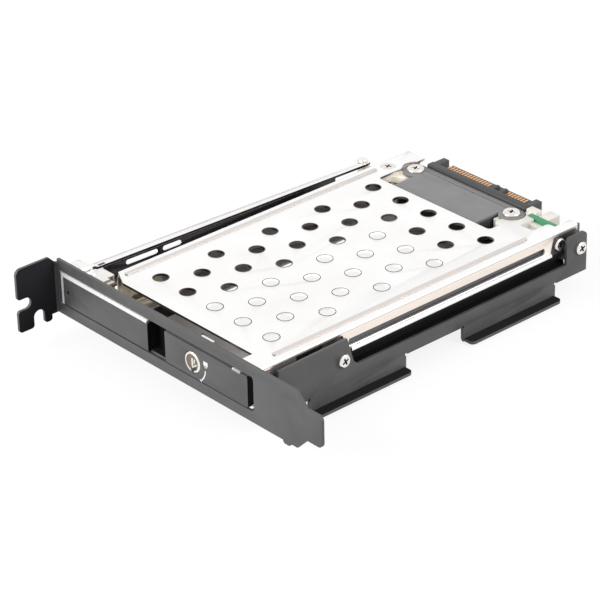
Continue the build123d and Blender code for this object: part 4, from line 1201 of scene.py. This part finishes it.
@dataclass
class Studio:
    """Pale floor, soft lamps and a white surround."""

    lamps: tuple[Lamp, ...] = (
        Lamp("key", (-0.30, -0.95, 0.50), (0.05, 0.06, 0.0), 0.7, 11.0),
        Lamp("side", (0.95, 0.45, 0.55), (0.05, 0.05, 0.0), 0.8, 5.5),
    )
    floor_z_mm: float = -7.6
    floor_side_m: float = 6.0
    floor_middle_m: float = 0.06
    ambient: float = 0.6
    floor_tone: float = 0.2
    floor_lift: float = 0.83

    def lay_floor(self) -> None:
        """Lay the floor under the feet."""
        mesh = bmesh.new()
        bmesh.ops.create_grid(mesh, x_segments=1, y_segments=1, size=self.floor_side_m / 2)
        bmesh.ops.translate(mesh, verts=mesh.verts,
                            vec=(self.floor_middle_m, self.floor_middle_m, self.floor_z_mm * MM))
        data = bpy.data.meshes.new("floor")
        mesh.to_mesh(data)
        mesh.free()
        floor = bpy.data.objects.new("floor", data)
        bpy.context.scene.collection.objects.link(floor)
        data.materials.append(self.floor_material())

    def floor_material(self) -> bpy.types.Material:
        """White floor that keeps the object's soft shadow."""
        graph = ShaderGraph("floor_white")
        tone = (self.floor_tone, self.floor_tone, self.floor_tone, 1.0)
        graph.set(Base_Color=tone, Roughness=0.9, Specular_IOR_Level=0.0, Emission_Color=WHITE)
        graph.link(graph.reckon("MULTIPLY", graph.seen_directly(), self.floor_lift),
                   graph.shader.inputs["Emission Strength"])
        return graph.material

    def light(self) -> None:
        """Hang the lamps and set the surround."""
        world = bpy.data.worlds.new("surround")
        bpy.context.scene.world = world
        world.use_nodes = True
        tree = world.node_tree
        path = tree.nodes.new("ShaderNodeLightPath")
        seen = tree.nodes.new("ShaderNodeMath")
        seen.operation = "MAXIMUM"
        tree.links.new(path.outputs["Is Camera Ray"], seen.inputs[0])
        tree.links.new(path.outputs["Is Glossy Ray"], seen.inputs[1])
        level = tree.nodes.new("ShaderNodeMapRange")
        level.inputs["To Min"].default_value = self.ambient
        level.inputs["To Max"].default_value = 1.0
        tree.links.new(seen.outputs["Value"], level.inputs["Value"])
        back = tree.nodes["Background"]
        back.inputs["Color"].default_value = WHITE
        tree.links.new(level.outputs["Result"], back.inputs["Strength"])
        for lamp in self.lamps:
            lamp.hang()


@dataclass(frozen=True)
class PhotoCamera:
    """The picture's viewpoint, worked out from the slot bracket's known sizes."""

    azimuth: float = 48.785
    elevation: float = 28.272
    roll: float = -1.249
    focal_px: float = 2854.576
    centre_px: tuple[float, float] = (300.755, 279.761)
    shift_mm: Triple = (-74.032, 9.278, 866.39)
    image_px: float = 600.0
    sensor_mm: float = 36.0
    clip_end_m: float = 20.0

    def place(self) -> None:
        """Create the camera and make it the scene's own."""
        az, el, roll = radians(self.azimuth), radians(self.elevation), radians(self.roll)
        ahead = -Vector((sin(az) * cos(el), -cos(az) * cos(el), sin(el)))
        right = ahead.cross(Vector((0.0, 0.0, 1.0))).normalized()
        up = right.cross(ahead)
        right, up = cos(roll) * right + sin(roll) * up, cos(roll) * up - sin(roll) * right
        tx, ty, depth = self.shift_mm
        eye = -(tx * right - ty * up + depth * ahead) * MM
        data = bpy.data.cameras.new("photo_camera")
        data.sensor_width = self.sensor_mm
        data.lens = self.focal_px / self.image_px * self.sensor_mm
        data.shift_x = (self.image_px / 2 - self.centre_px[0]) / self.image_px
        data.shift_y = (self.centre_px[1] - self.image_px / 2) / self.image_px
        data.clip_end = self.clip_end_m
        camera = bpy.data.objects.new("photo_camera", data)
        turn = Matrix((right, up, -ahead)).transposed().to_4x4()
        camera.matrix_world = Matrix.Translation(eye) @ turn
        bpy.context.scene.collection.objects.link(camera)
        bpy.context.scene.camera = camera


def main() -> None:
    """Build every piece in order."""
    logging.basicConfig(level=logging.INFO, format="%(name)s: %(message)s")
    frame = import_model()
    bpy.context.scene.view_settings.view_transform = "Standard"
    shop = Workshop(frame)
    cutter = Cutter()
    for node in frame["nodes"]:
        shop.paint(node)
    for folded in (FoldedBrackets(), FrontDoor(), EjectGear()):
        folded.build(shop)
    for dressed in (VentedCage(), KeyLock(), RearPlug(), Fasteners()):
        dressed.build(shop, cutter)
    studio = Studio()
    studio.lay_floor()
    studio.light()
    PhotoCamera().place()


if __name__ == "__main__":
    main()
